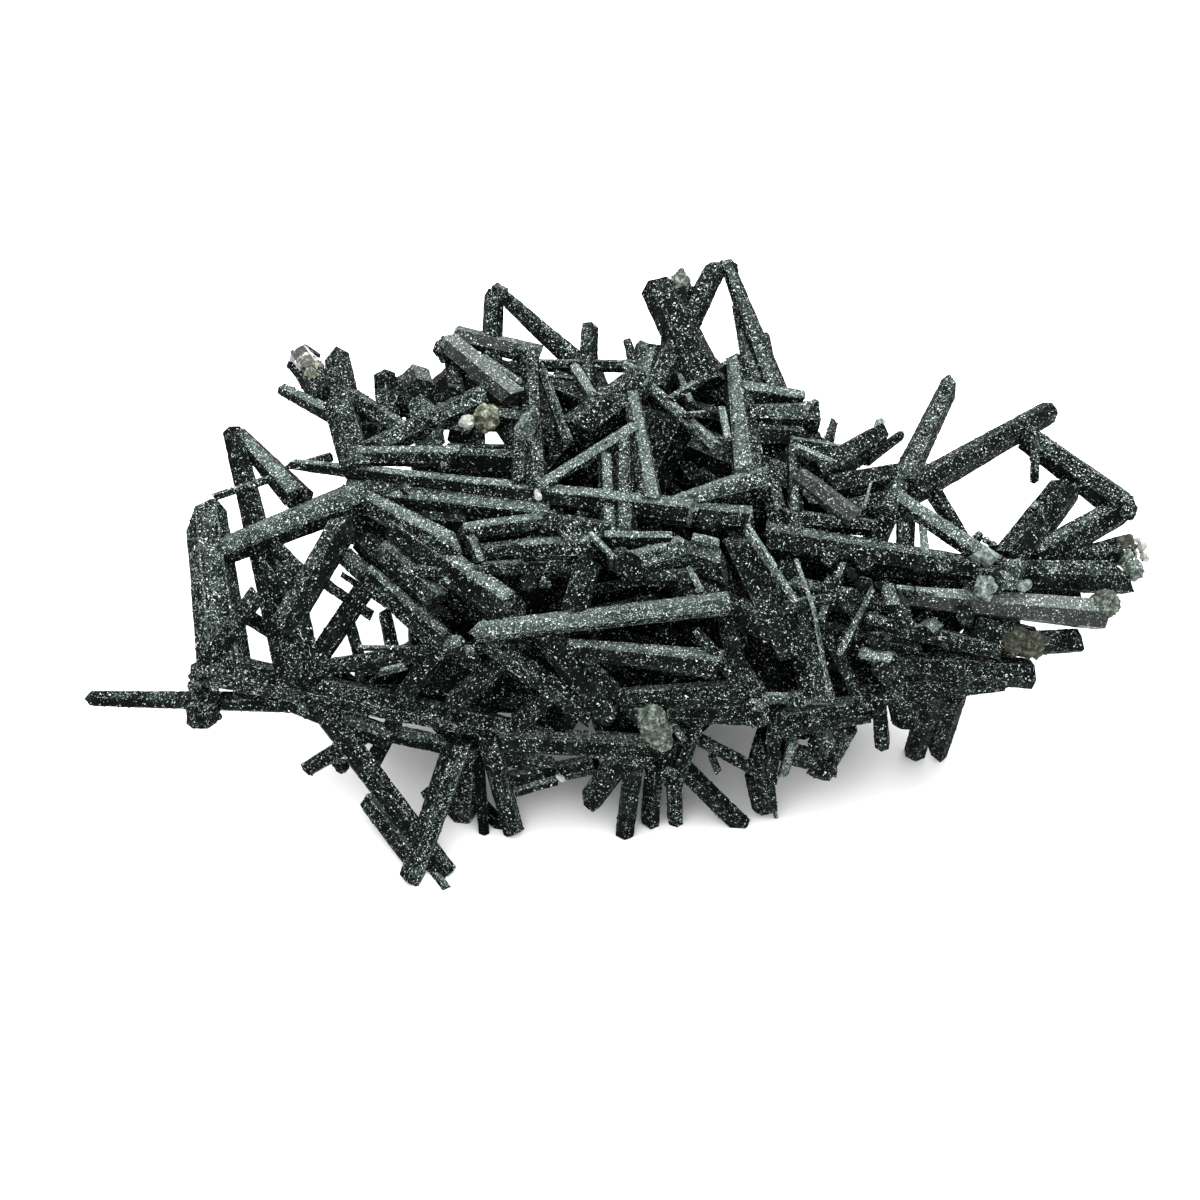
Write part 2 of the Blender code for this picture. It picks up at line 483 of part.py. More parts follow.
def socket(name, row, seed):
    # the same crystal, larger by the gap all round
    p, q = line(row)
    w0 = row[3]
    w1 = row[7]
    form = row[8]
    along = (q - p).normalized()
    grow = 2.6 * GAP
    return prism(name, p - along * (1.6 * GAP), q + along * (1.6 * GAP), w0 + grow, w1 + grow, form,
                 random.Random(seed))


def build_all():
    for old in list(bpy.data.objects):
        bpy.data.objects.remove(old)
    rng = random.Random(SHAPE_SEED)
    crystals = []
    taken = []
    for number, row in enumerate(TABLE):
        crystals.append(crystal("crystal_%d" % number, row, rng))
        taken.append((*line(row), 0.5 * (row[3] + row[7])))
    for p, q, w, square in filler_rows(taken, random.Random(FILLER_SEED)):
        crystals.append(prism("inner", p, q, w, w * rng.uniform(0.75, 1.0), "b", rng, square))
    for thing in crystals:
        flat_foot(thing)
    cluster = crystals[2]
    join(cluster, [thing for thing in crystals if thing is not cluster], "UNION")
    sockets = [socket("socket", row, seed) for seed, row in enumerate(UNCOATED.values())]
    join(cluster, sockets, "DIFFERENCE")
    take_away_bits(cluster)
    cluster.name = "crystal_cluster"
    cluster.data.name = "crystal_cluster"
    cluster.data.materials.clear()
    cluster.data.materials.append(material("chlorite_coat", COAT_COLOUR, 0.75))
    clear = material("clear_quartz", CLEAR_COLOUR, 0.08)
    pale = material("pale_quartz", PALE_COLOUR, 0.45)
    for seed, (name, row) in enumerate(UNCOATED.items()):
        thing = crystal(name, row, random.Random(seed))
        thing.data.materials.append(clear if name.startswith("clear") else pale)


build_all()
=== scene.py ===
# Chlorite quartz: long six-sided crystals under a crust of green-black chlorite, grown through
# one another, with a few clear and milky ends that the crust has left bare.
import math
import random

import bpy
from mathutils import Euler, Matrix, Vector


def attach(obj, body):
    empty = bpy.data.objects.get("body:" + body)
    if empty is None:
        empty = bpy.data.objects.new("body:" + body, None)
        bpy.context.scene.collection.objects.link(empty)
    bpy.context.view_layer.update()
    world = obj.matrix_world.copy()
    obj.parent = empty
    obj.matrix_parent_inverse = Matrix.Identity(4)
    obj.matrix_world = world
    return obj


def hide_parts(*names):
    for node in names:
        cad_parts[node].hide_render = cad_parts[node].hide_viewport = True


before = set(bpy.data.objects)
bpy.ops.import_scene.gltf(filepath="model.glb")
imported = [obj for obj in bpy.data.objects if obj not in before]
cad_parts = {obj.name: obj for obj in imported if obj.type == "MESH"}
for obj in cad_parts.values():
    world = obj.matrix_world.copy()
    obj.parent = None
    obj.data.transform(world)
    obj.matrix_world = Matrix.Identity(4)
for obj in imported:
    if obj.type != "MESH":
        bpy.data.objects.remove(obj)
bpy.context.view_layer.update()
print("frame:", len(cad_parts), "nodes")

# all lengths in the tables are millimetres
millimetre = 0.001
layout = {"lean": 40.0, "height": 22.0, "aside": -1.8, "back": -4.85, "sight": 833.0,
          "peak": 17.0, "fallAlong": 0.0035, "fallUp": 0.0245, "reach": 32.0}
ground = -99.0  # a depth this low means: down to the floor

# across, up, depth and width at one end, the same at the other end, then the far end's form: b or
# nothing for broken square, s broken on a slant, p pointed; then g for a thin coat, or k, m or l for a
# pale, paler or palest one; depth is counted from the bulging front
crystalRows = {
    "leftEnd": [
        (-36, -12.8, -3, 3, -64.5, -12.3, -1, 2.1, "p"), (-49.3, -8.3, -2.5, 3.6, -49.8, -15.6, -1, 3.8),
        (-49.2, -8.4, 0, 4.4, 7, -20, -1, 2.4, "s"), (-46.8, -9.3, -1, 6.2, -49.4, 12.2, 0, 4.6, "s"),
        (-38.5, -9.8, 1, 3.8, -45.9, 21.2, 1.2, 2.5), (-37.6, 12.6, -1.9, 3.6, -45.3, 20.9, -0.9, 1.9),
        (-26, 14.4, -2.2, 4.4, -47.2, 6, -1.8, 3.4), (-41, 15.2, -1, 1, -48.4, 12.8, -0.5, 0.9),
        (-39.5, -3.5, -1, 3.4, -31.2, 10.7, 1.2, 3.6, "p"), (-36, -10.5, -1, 3.2, -39.2, 5, -0.5, 3),
        (-42.8, 0.8, 1.8, 2.3, -48.8, -7.4, 1.4, 2.5), (-31.5, 13.5, -2.5, 3.4, -6, 10.6, -2, 3.4),
    ],
    "leftLattice": [
        (-20.5, -4.6, -4, 1.4, -32.4, 3.3, -4, 0.7), (-28.5, -2, -4, 1.2, -35.4, 2.8, -3, 1.2),
        (-29, 2, -4, 2.8, -35.4, -7.4, -3, 2.8), (-31.9, -0.8, -4.6, 1.6, -29.4, -9.4, -3, 1.6),
        (-26.9, -1.6, -4, 1.7, -25.4, -8.6, -3, 1.7), (-32, 5.6, -2.6, 2.6, -18.5, -6.4, -2, 3.8),
        (-37, -8.8, -3, 2.4, -19, -6.2, -2, 2.4), (-24.8, -12.4, -2, 2.2, -19, -4.8, -2, 2.2),
    ],
    "upperLeft": [
        (-33.9, 24.8, -0.8, 3.8, -35.9, 28.1, -1, 3.6), (-31.5, 23, 0.2, 3.8, -33, 30.3, 0, 3.4, "s"),
        (-30.2, 16, 1, 4.2, -32.6, 24.3, 1.5, 4), (-32, 22.3, -0.6, 2.6, -40.2, 26.6, -0.4, 1.7, "p"),
        (-24, 20.6, 0, 2.4, -31.5, 25.8, 0.8, 1.9), (-26.2, 20.5, -2, 3.4, -26.9, 27.8, -1, 3.2),
        (-21.4, 20.5, -1, 3.9, -22.7, 27.5, 0, 3.2), (-31, 17.6, 0.5, 3, -13.4, 25.8, -0.2, 3.6),
        (-31, 17.9, 1.8, 2.3, -17.2, 18, 1, 2.5), (11.5, 10.9, 2, 3.4, -39.3, 17.1, 2.4, 1.3, "sk"),
        (-24, 23.2, -4, 3, -8, 22.4, -4, 3),
    ],
    "topLeft": [
        (-13.6, 29.5, -2, 2.7, -13.2, 38.8, -4, 2.3), (-2.6, 29.4, -2, 2.6, -12.5, 38.3, -5, 1.6, "s"),
        (-7.5, 30.6, -2, 2.5, -18.3, 33.1, -1, 2.5, "bg"),
        (-10.6, 25.2, 0.6, 3.5, -18.9, 32.2, 1, 3.2, "bg"), (-17.3, 22.5, -1.5, 2.2, -18.7, 30.6, -1, 1.8),
        (-9.5, 29.3, -0.4, 1.8, 4.6, 29.2, -1.2, 1.8), (-1.6, 26.5, -3, 2.6, -1.3, 34, -4, 2.3),
        (-10, 14.3, 0.8, 2.2, -9.6, 21.4, 0.8, 2.6), (-7.9, 14, 2, 2.4, -8.9, 31, -0.6, 2.3),
        (4.8, 26.8, -0.8, 4.2, -4.2, 20.3, -0.8, 4.2), (4.3, 21.5, 1.4, 1.6, -7.6, 14.2, 2.5, 1.4, "bm"),
        (6.4, 12.2, 2, 2.6, 3.6, 27.6, 0.4, 1.8, "pm"), (4.6, 28.6, -1.8, 1.6, 3.3, 32.6, -2.6, 0.9),
        (14.7, 18.9, 0.4, 1.8, 2.8, 29.7, 0.6, 1.4, "bm"), (1.3, 8, 1, 2.4, 0.8, 17.9, 0.4, 2),
        (3.2, 8, 2, 2.6, 3.1, 19.8, 0.8, 2.2),
    ],
    "topCentre": [
        (13.4, 26.5, -2, 5, 7.2, 39.3, -4, 4.4), (6.6, 26, -2.2, 3.6, 14.9, 42.3, -6.5, 2.5, "p"),
        (9.3, 30, -3, 3.6, 10.1, 39.3, -4, 3.4), (21.9, 26, -2, 3, 15.9, 41.9, -6, 1.6, "s"),
        (19.6, 25.5, -2.2, 2.8, 17.1, 36.6, -4.6, 1.3, "s"), (18.7, 15, 1, 4.2, 16.9, 29.8, -0.8, 2.7),
        (16.3, 29.6, -0.4, 1.4, 8.4, 24.8, 0.8, 1.3), (4.4, 26, -3, 2.2, 5.5, 31.8, -3, 2),
        (17.5, 26.1, -0.6, 2.6, 25.4, 24.9, -2, 2.4), (18.2, 22.9, -0.6, 3.6, 27, 22.7, -1.6, 4.4),
        (18.5, 20.6, -2, 3.2, 25.6, 20, -2.6, 3), (28, 17.5, -4, 1.9, 29.3, 22.6, -5, 1, "s"),
        (23.6, 19.5, -1.2, 2, 30, 18.3, -2.6, 2.2),
    ],
    "centreLeft": [
        (-19.2, -4.8, -0.6, 2.4, -29.2, 4, -0.4, 1.8), (-20.4, -0.2, -0.6, 3.6, -27.8, 6.6, -0.8, 3.4),
        (-28.6, 11.9, 1.2, 2.8, -17.2, 5.8, 1.6, 3.6, "pm"), (-25.4, 8.8, 0, 3.6, -10, -2.2, 1.6, 4.6),
        (-5.4, 10, -1, 2.4, -18, 8.3, -1.2, 2.4), (-4.5, 7, -0.4, 2.3, -16, 5.6, -0.7, 2.3),
        (-14.6, 3.6, -0.6, 2.4, -2.6, 4.2, -0.6, 2.4), (-24.8, 3.4, 0, 1.9, -13.6, 3.5, 1, 1.7),
        (1.2, 8.4, 1.4, 2.6, -7.4, 9.8, 1.4, 2.6), (-9.6, 6.1, 0.6, 2.6, 1.4, 6.6, 1.6, 3.2, "sm"),
        (-3.3, -1.8, 1, 3.4, -1.2, 5.4, 1, 3), (16, -0.4, 1.6, 3, -16.4, -4.1, 3, 2.6, "pl"),
    ],
    "lowerCentre": [
        (-15.4, -4.2, 0.6, 2.8, -0.6, -14.9, 1.6, 3), (-7.4, -3.4, 0.4, 3.4, 1.4, -14.9, 2.2, 3.6, "s"),
        (-2.4, -7, 1.6, 1.5, 5.6, -15.2, 2.6, 1.8), (-3.6, -9.7, 0.4, 2, -11, -15.9, 1, 2.4),
        (-9.6, -5.2, -1.6, 2.8, -18.6, -13.2, -1.6, 3), (7.4, -18.4, -1.4, 3.2, -13.4, -17.3, -2.6, 3.2),
        (-4.2, -5.9, 1.4, 2, 15.5, -8.2, 1.4, 3.6), (16.8, -9.8, 2, 1.6, 11.9, -3.6, 2, 1.2),
        (17.5, -9, 2.2, 2, 16, -2.2, 1.4, 1.4), (20.4, -12.9, 1, 2.2, 16.4, -6.6, 1.6, 1.8),
        (2.4, -12.3, 1.2, 2.4, 21, -11.2, 0.4, 3.2), (8.6, -14.2, 0, 1.8, 20.3, -14, 0.4, 3.2),
        (9.3, -23.2, 1.2, 2, 12.5, -14.6, 0, 1.4), (7.9, -15.8, -0.2, 1.4, 8.8, -23.2, 1.2, 1.6),
    ],
    "centreRight": [
        (8.2, 11.6, 0.6, 2.2, 20.8, 15, 0.8, 4.2, "bm"), (27.3, -12.7, 2, 4.4, 20.8, 17, 1.4, 2),
        (24.4, -7, 0.8, 4.6, 16.8, 8.4, 2, 4), (3.6, 11.4, 0.4, 2.8, 19.5, 10, -0.2, 3),
        (10.4, 6.4, 1, 3.2, 3.4, 4.2, 2.4, 3), (9, 6.2, -0.6, 3.4, 16.6, 3.6, 0, 4.6),
        (6, 2.8, -0.2, 2.4, 12.7, 2.7, 1, 2.9), (9.8, 1.6, -0.6, 3.4, 22.4, -3.8, 0, 3.6),
        (31.8, 10.2, 0.6, 2.5, 24.5, 15.7, 0.6, 2.2, "bg"), (24.6, 7.8, 0, 2.2, 24.1, 19.5, -0.6, 1.7),
        (20.8, 7.6, -0.8, 4.4, 51.2, 3.1, 0.5, 3.2), (23, 10, -1.2, 3, 34.6, 9, -1.2, 2.2),
        (22.6, 1.7, -1.4, 3, 39, -1.8, -0.8, 3.2), (38.2, -3.4, 1, 2.4, 35, 2.5, 1, 1.6),
        (32.6, -2.4, 1, 2, 50.6, -6.5, 0, 2), (33.2, -13.7, 1, 1.7, 28.2, -4, 1, 1.5),
        (38.5, -12, 1, 2.4, 33, -5.8, 1.4, 2.6, "s"), (26.5, -4, -2.4, 3.4, 41, -7.4, -2.4, 3.4),
    ],
    "rightTop": [
        (27, 15.4, -1.6, 4.4, 35.2, 20.4, -3, 3.6, "s"), (28, 13.6, -1.6, 4.2, 37.4, 15.6, -2.4, 3.4),
        (35.7, 10.4, 0, 3.2, 43.9, 27.2, -3, 2.3, "s"), (38.4, 13.4, -0.6, 3.8, 57, 24, -3, 2.9, "p"),
        (45.4, 7.6, -2.6, 1.8, 40.8, 14.8, -2, 2.4), (37.2, 12.6, 0.9, 2.2, 48.8, 4.9, 1.9, 2.5, "sm"),
        (38.1, 5.4, -0.8, 2.2, 38.3, 12.8, -0.8, 2.4),
    ],
    "rightEnd": [
        (64.9, 11.8, -1, 4, 52.8, 20.6, -2.2, 3.2), (54.4, 21.8, -0.8, 1.3, 54.3, 15, -0.2, 1.3),
        (53.4, 4.6, -2, 3.8, 65.7, 11.6, -1.8, 3.2), (50.8, 4.4, -1, 4.6, 58.4, 14.2, -2.2, 4),
        (46.6, 3.2, -0.4, 3.6, 67, 2.8, -0.4, 4.4, "s"), (55.6, 4.6, -2, 1.8, 66.6, 7.4, -2.4, 2),
        (60.5, 5.2, -1.8, 1.8, 65.7, 5.8, -1.9, 2.9), (36.4, 0.7, 0.6, 2.4, 62.9, -1.8, 0.8, 4.1, "bgm"),
        (46, -3.8, -1.2, 4, 55.6, -5.6, -0.4, 3.4, "p"), (50, -5.6, -2, 3, 60.3, -5, -2, 2.8),
        (35.5, -8, -0.6, 3.4, 54.1, -9.2, -1, 3.9), (31.5, -12.2, -0.6, 3, 50.4, -10.3, -1.6, 2.2),
    ],
    "legs": [
        (-34.8, -13.4, -3, 3, -19.1, -34.4, ground, 3), (-28.6, -25.2, -1, 3, -22.8, -32.8, -1, 3),
        (-17.6, -17.5, -3, 3.8, -23.9, -35.5, ground, 3.2),
        (-23.6, -30.5, ground, 1.8, -19.1, -36.4, ground, 1.5),
        (-29, -16.6, -4, 2.2, -36.9, -21.3, -4, 1.8), (-25.6, -15, -3.6, 1.9, -29.4, -22.2, -3, 1.8),
        (-27.5, -16.4, -4, 2.4, -5, -21, -4, 2.4), (-26, -17.4, -3, 3, -38.8, -12.4, -3, 3),
        (-14.2, -16.5, -2.4, 2.8, -10.6, -29.6, ground, 2.6),
        (-16.4, -17.5, -3.4, 3, -17.3, -27.4, ground, 3.4), (-12.8, -22.8, -3, 2.2, 0, -20.4, -5, 2.3),
        (3.6, -18.4, -3, 3.6, -1.4, -25.3, -2, 3), (4.6, -18, -2.4, 2.6, 3, -29.5, ground, 2.4),
        (7, -18, -2.6, 2.4, 6.2, -28.2, ground, 2.3), (9.1, -17, -1.8, 2.1, 9.4, -28, ground, 1.9),
        (9, -15.6, -1.8, 1.8, 20.8, -21.9, -1, 2), (7.6, -18.2, -2.2, 2.8, 17.6, -28.1, ground, 2.8),
        (20.2, -18.4, -2, 2.6, 21.2, -27.4, ground, 2.3, "s"), (22, -13, 0.4, 2, 21.4, -23, 0, 1.5),
        (21.2, -15.7, -0.6, 3.2, 33.6, -13.4, -0.6, 3.4), (30.6, -15, -2, 3.6, 26.8, -23, -2, 2.6, "s"),
        (23.4, -19, -3, 2.6, 29.8, -20.9, -3, 2.5), (34.7, -11, 0, 2, 35.3, -18.3, 0, 2),
        (44.3, -11.5, -3, 2.9, 41.9, -19.6, ground, 2.4, "s"),
        (41.8, -11, -2.6, 2.9, 39.2, -19.4, ground, 2.6), (37.4, -11, -2.8, 3.4, 38.4, -16.2, -3, 3),
    ],
    "backLegs": [
        (-12, 12, -14, 4.6, -21, -4, ground, 4), (19, 12, -14, 4.8, 29, -4, ground, 4.2),
        (2, 18, -14, 4.6, 9, 3, ground, 4.2), (40, 4, -8, 4, 30, -9, ground, 3.6),
    ],
}

# outline of the mass, which the crystals behind the front stay inside: across, up
massOutline = [
    (-50, -14), (-46, 8), (-38, 13), (-32, 24), (-20, 26), (-17, 30), (-8, 30), (5, 30), (8, 34), (13, 32),
    (20, 28), (26, 23), (30, 18), (37, 17), (44, 12), (50, 4), (56, 7), (63, 8), (65, 2), (58, -3),
    (53, -9), (45, -12), (38, -15), (31, -15), (26, -21), (12, -22), (6, -22), (0, -21), (-8, -21),
    (-16, -22), (-20, -19), (-25, -17), (-36, -14),
]
# places one can see right through: across, up, radius
seeThrough = [
    (-45, 2.4, 1.6), (-40.3, 5.6, 1.2), (-37.7, 8.6, 1.6), (-31.8, 4.4, 2.2), (-34.2, -0.6, 2.2),
    (-32.4, -6.2, 1.8), (-28.6, -3.8, 2.4), (-36.2, 15.3, 1.2), (-42, 12, 1.8), (-43.4, 15.6, 0.8),
    (-25.4, -20.5, 3.4), (-22.3, -15.9, 1), (-29.2, -18.4, 1.2), (-1.6, -19.7, 0.8), (14.8, -17.4, 1.2),
    (14, -20.6, 1.2), (36.1, 7.8, 0.9), (39.5, 6.3, 0.5), (42, 7.3, 1.6), (41.6, 11.2, 0.8),
    (60.1, 5.3, 1.6), (59.3, 10.6, 1.2), (25.9, -19.4, 0.7), (-20.5, 19.7, 0.6), (-13.2, 20, 0.7),
    (52, 13, 6.5), (46.5, 9.5, 3),
]

# crystals behind the front: how many, depth share of either end, widths, lengths
hiddenCrystals = {
    "layers": [
        (12, (0.14, 0.38), (0.14, 0.38), (4.6, 6.0), (22.0, 42.0)),
        (12, (0.15, 0.4), (0.65, 1.0), (3.8, 5.4), (8.0, 26.0)),
        (9, (0.6, 1.0), (0.6, 1.0), (3.6, 5.0), (20.0, 40.0)),
    ],
    # the low paleness and the dark coat that these get paint them darker, a painted shade deep in the mass
    "seed": 47, "spacing": 7.0, "taper": (0.75, 1.0), "paleness": 0.6,
}
# thinner ones that fill the gaps between the others
smallCrystals = {
    "layers": [
        (90, (0.14, 0.3), (0.16, 0.4), (1.6, 3.2), (8.0, 24.0)),
        (70, (0.3, 0.6), (0.3, 0.8), (2.0, 3.6), (10.0, 28.0)),
        (40, (0.7, 1.0), (0.6, 1.0), (2.0, 3.6), (8.0, 26.0)),
    ],
    # the low paleness and the dark coat paint these darker too, as painted shade
    "seed": 12, "spacing": 2.4, "taper": (0.7, 1.0), "paleness": 0.5,
}
# where both kinds are sought, and how much of a neighbour's width they have to run into
search = {"tries": 6000, "across": (-48.0, 62.0), "up": (-20.0, 30.0), "rest": 0.35,
          "checks": 12, "overlap": 0.35, "neighbours": 2}
# where the mass ends behind its front: never past "deepest", and "floorGap" above the floor
backOfMass = {"depth": -24.0, "slope": 0.15, "deepest": -34.0,
              "floorGap": 2.0, "perUp": 0.766, "perOut": 0.643}
# how far above the floor the axis of a free end and of a foot may lie, as a share of its width
restShare = {"free": 0.3, "foot": -0.2}


def frontDepth(across, up):
    tall = min(abs(up + 2.0), layout["reach"])
    return layout["peak"] - layout["fallAlong"] * across * across - layout["fallUp"] * tall * tall


def spot(across, up, out, rest):
    # a place on the leaning layout plane, moved out to the front, never lower than rest
    cos = math.cos(math.radians(layout["lean"]))
    sin = math.sin(math.radians(layout["lean"]))
    near = 1.0 - out / layout["sight"]
    if cos * up * near + sin * out + layout["height"] < rest:
        out = (rest - layout["height"] - cos * up) / (sin - cos * up / layout["sight"])
        near = 1.0 - out / layout["sight"]
    return Vector((across * near + layout["aside"],
                   sin * up * near - cos * out + layout["back"],
                   cos * up * near + sin * out + layout["height"]))


def formOf(row):
    # a row that names no form is broken square
    return row[8] if len(row) > 8 else "b"


def axisOf(row):
    # both ends of a row's crystal
    ends = []
    for across, up, depth, width in (row[0:4], row[4:8]):
        rest = restShare["foot" if depth == ground else "free"] * width
        ends.append(spot(across, up, frontDepth(across, up) + depth, rest))
    return ends


def gapBetween(p, q, r, s):
    # shortest distance between two crystal axes
    d1 = q - p
    d2 = s - r
    w = p - r
    a = d1.dot(d1)
    b = d1.dot(d2)
    c = d2.dot(d2)
    d = d1.dot(w)
    e = d2.dot(w)
    under = a * c - b * b
    t = min(max((b * e - c * d) / under, 0.0), 1.0) if under > 1e-6 else 0.0
    v = min(max((b * t + e) / c, 0.0), 1.0)
    t = min(max((b * v - d) / a, 0.0), 1.0)
    return (p + d1 * t - r - d2 * v).length


def insideMass(across, up):
    hit = False
    for i, (a0, u0) in enumerate(massOutline):
        a1, u1 = massOutline[i - 1]
        if (u0 > up) != (u1 > up) and across < a0 + (up - u0) * (a1 - a0) / (u1 - u0):
            hit = not hit
    return hit


def staysHidden(a0, u0, a1, u1, width):
    # inside the outline and off every place one can see through, all along
    checks = search["checks"]
    for i in range(checks + 1):
        a = a0 + (a1 - a0) * i / checks
        u = u0 + (u1 - u0) * i / checks
        if not insideMass(a, u):
            return False
        if any(math.hypot(a - ga, u - gu) < gr + 0.5 * width for ga, gu, gr in seeThrough):
            return False
    return True


def depthBehind(across, up, share):
    # share 0 is the front of the mass, 1 its back or its underside
    front = frontDepth(across, up)
    underside = (backOfMass["floorGap"] - layout["height"] - backOfMass["perUp"] * up) / backOfMass["perOut"]
    back = max(backOfMass["depth"] - backOfMass["slope"] * up, underside, backOfMass["deepest"])
    return front + (back - front) * share


def crystalsBehind(settings, taken):
    # each crosses at least two crystals that are already there
    dice = random.Random(settings["seed"])
    overlap = search["overlap"]
    rows = []
    for count, first, second, widths, lengths in settings["layers"]:
        found = 0
        for _ in range(search["tries"]):
            if found == count:
                break
            width = dice.uniform(*widths)
            across = dice.uniform(*search["across"])
            up = dice.uniform(*search["up"])
            turn = dice.uniform(0.0, math.tau)
            half = 0.5 * dice.uniform(*lengths)
            ends = [(across - half * math.cos(turn), up - half * math.sin(turn)),
                    (across + half * math.cos(turn), up + half * math.sin(turn))]
            shares = (dice.uniform(*first), dice.uniform(*second))
            if not staysHidden(*ends[0], *ends[1], width):
                continue
            p, q = [spot(*end, depthBehind(*end, share), search["rest"] * width)
                    for end, share in zip(ends, shares)]
            crossed = [t for t in taken if gapBetween(p, q, t[0], t[1]) < overlap * (width + t[2])]
            if len(crossed) < search["neighbours"]:
                continue
            middle = 0.5 * (p + q)
            if any((middle - 0.5 * (r[0] + r[1])).length < settings["spacing"] for r in rows):
                continue
            taken.append((p, q, width))
            rows.append((p, q, width))
            found += 1
    return rows


# one crystal, by its width: its bar, its broken ends, its point and the rings along it
crystalShape = {
    "radius": 0.585, "squash": 0.9, "flatness": (0.9, 1.05), "spare": 0.6,
    "startTilt": (0.0, 0.5), "squareTilt": (0.1, 0.5), "slantTilt": (0.9, 1.3), "leastTilt": 0.05,
    "point": 0.55, "tipShift": (0.0, 0.3), "floorCut": 0.05, "ringGap": 0.27,
    "rim": (0.08, 0.2), "dip": (0.0, 0.12),
}
knobShape = {"rest": 0.5, "height": 1.1, "paleness": 1.2}
stubShape = {"lean": (-0.5, 0.5), "root": 1.2, "reach": 0.4, "rest": 0.5, "taper": (0.85, 1.0)}
# how much paler a facet is painted by facing up, a painted top light, and by chance, and how pale a crystal
# is pale all over
facetLook = {"upward": 1.0, "chance": 0.5, "allOver": 0.6, "allOverFrom": 1.2}
lookDice = random.Random(31)
lean = math.radians(layout["lean"])
sightLine = Vector((0.0, -math.cos(lean), math.sin(lean)))


def deselectAll():
    if bpy.context.object and bpy.context.object.mode != "OBJECT":
        bpy.ops.object.mode_set(mode="OBJECT")
    bpy.ops.object.select_all(action="DESELECT")


def cutEnd(place, outward):
    # break a crystal off along a plane and close the break
    bpy.ops.mesh.select_all(action="SELECT")
    bpy.ops.mesh.bisect(plane_co=place * millimetre, plane_no=outward, use_fill=True, clear_outer=True)


def hollowEnd(width):
    # the broken face just cut: a rim with a shallow dip inside it
    bpy.ops.mesh.select_mode(type="FACE")
    bpy.ops.mesh.inset(thickness=lookDice.uniform(*crystalShape["rim"]) * width * millimetre,
                       depth=-lookDice.uniform(*crystalShape["dip"]) * width * millimetre)


def toneFacets(crystal, turned, paleness):
    # how pale each facet is painted: a painted top light where it faces up, and pale flakes by chance
    allOver = facetLook["allOver"] * max(paleness - facetLook["allOverFrom"], 0.0)
    tones = crystal.data.attributes.new("facetTone", "FLOAT", "FACE")
    for face in crystal.data.polygons:
        upward = max((turned @ face.normal).z, 0.0)
        tone = facetLook["upward"] * upward ** 4 + facetLook["chance"] * lookDice.random() ** 3
        tones.data[face.index].value = min(tone * paleness + allOver, 1.0)


def growCrystal(p, q, w0, w1, form, dice, paleness=1.0):
    shape = crystalShape
    pointed = form[0] == "p"
    along = (q - p).normalized()
    length = (q - p).length
    side = along.cross(sightLine)
    if side.length < 0.1:
        side = along.cross(Vector((1.0, 0.0, 0.0)))
    side.normalize()
    out = side.cross(along).normalized()
    roll = dice.uniform(0.0, 60.0)
    flat = shape["squash"] * dice.uniform(*shape["flatness"])
    startTilt = dice.uniform(*shape["startTilt"])
    endTilts = {"b": dice.uniform(*shape["squareTilt"]), "s": dice.uniform(*shape["slantTilt"]), "p": 0.0}
    endTilt = endTilts[form[0]]
    startWay = dice.uniform(0.0, math.tau)
    endWay = dice.uniform(0.0, math.tau)
    tipShift = dice.uniform(*shape["tipShift"]) if pointed else 0.0
    # a tapered six-sided bar, longer than needed at the broken ends
    before = shape["spare"] * w0 * startTilt
    after = -shape["point"] * w1 if pointed else 0.0
    r0 = shape["radius"] * (w0 - (w1 - w0) * before / length)
    r1 = shape["radius"] * (w1 + (w1 - w0) * after / length)
    middle = p + along * (0.5 * (length + after - before))
    turn = math.radians(roll)
    yAxis = side * math.cos(turn) + out * math.sin(turn)
    xAxis = yAxis.cross(along)
    pose = Matrix((xAxis, yAxis, along)).transposed()
    bpy.ops.mesh.primitive_cone_add(vertices=6, radius1=r0 * millimetre, radius2=r1 * millimetre,
                                    depth=(length + before + after) * millimetre, end_fill_type="NGON",
                                    location=middle * millimetre, rotation=pose.to_euler(),
                                    scale=(1.0, flat, 1.0))
    crystal = bpy.context.object
    toneFacets(crystal, pose, paleness)
    bpy.ops.object.mode_set(mode="EDIT")
    if startTilt > shape["leastTilt"]:
        slope = (side * math.cos(startWay) + out * math.sin(startWay)) * startTilt
        cutEnd(p, slope - along)
        hollowEnd(w0)
    if pointed:
        bpy.ops.mesh.select_mode(type="FACE")
        bpy.ops.mesh.select_all(action="DESELECT")
        bpy.ops.object.mode_set(mode="OBJECT")
        cap = max(crystal.data.polygons, key=lambda face: face.center.z)
        cap.select = True
        bpy.ops.object.mode_set(mode="EDIT")
        bpy.ops.mesh.extrude_region_move(
            TRANSFORM_OT_translate={"value": along * (shape["point"] * w1 * millimetre)})
        bpy.ops.mesh.merge(type="CENTER")
        bpy.ops.transform.translate(value=yAxis * (tipShift * 0.5 * w1 * millimetre))
    else:
        slope = (side * math.cos(endWay) + out * math.sin(endWay)) * endTilt
        cutEnd(q - along * (0.5 * endTilt * w1), along - slope)
        if form[0] == "b":
            hollowEnd(w1)
    if min(p.z - shape["spare"] * w0, q.z - shape["spare"] * w1) < 0.0:
        cutEnd(Vector((0.0, 0.0, shape["floorCut"])), Vector((0.0, 0.0, -1.0)))
    # rings along the bar, so that its facets are made of squares
    rings = round(length / (shape["ringGap"] * (w0 + w1)))
    bpy.ops.mesh.select_mode(type="EDGE")
    for n in range(1, rings):
        bpy.ops.mesh.select_all(action="SELECT")
        bpy.ops.mesh.bisect(plane_co=p.lerp(q, n / rings) * millimetre, plane_no=along)
    bpy.ops.object.mode_set(mode="OBJECT")
    return crystal


def growRow(row, dice, paleness=1.0):
    # a crystal from a row of a table
    return growCrystal(*axisOf(row), row[3], row[7], formOf(row), dice, paleness)


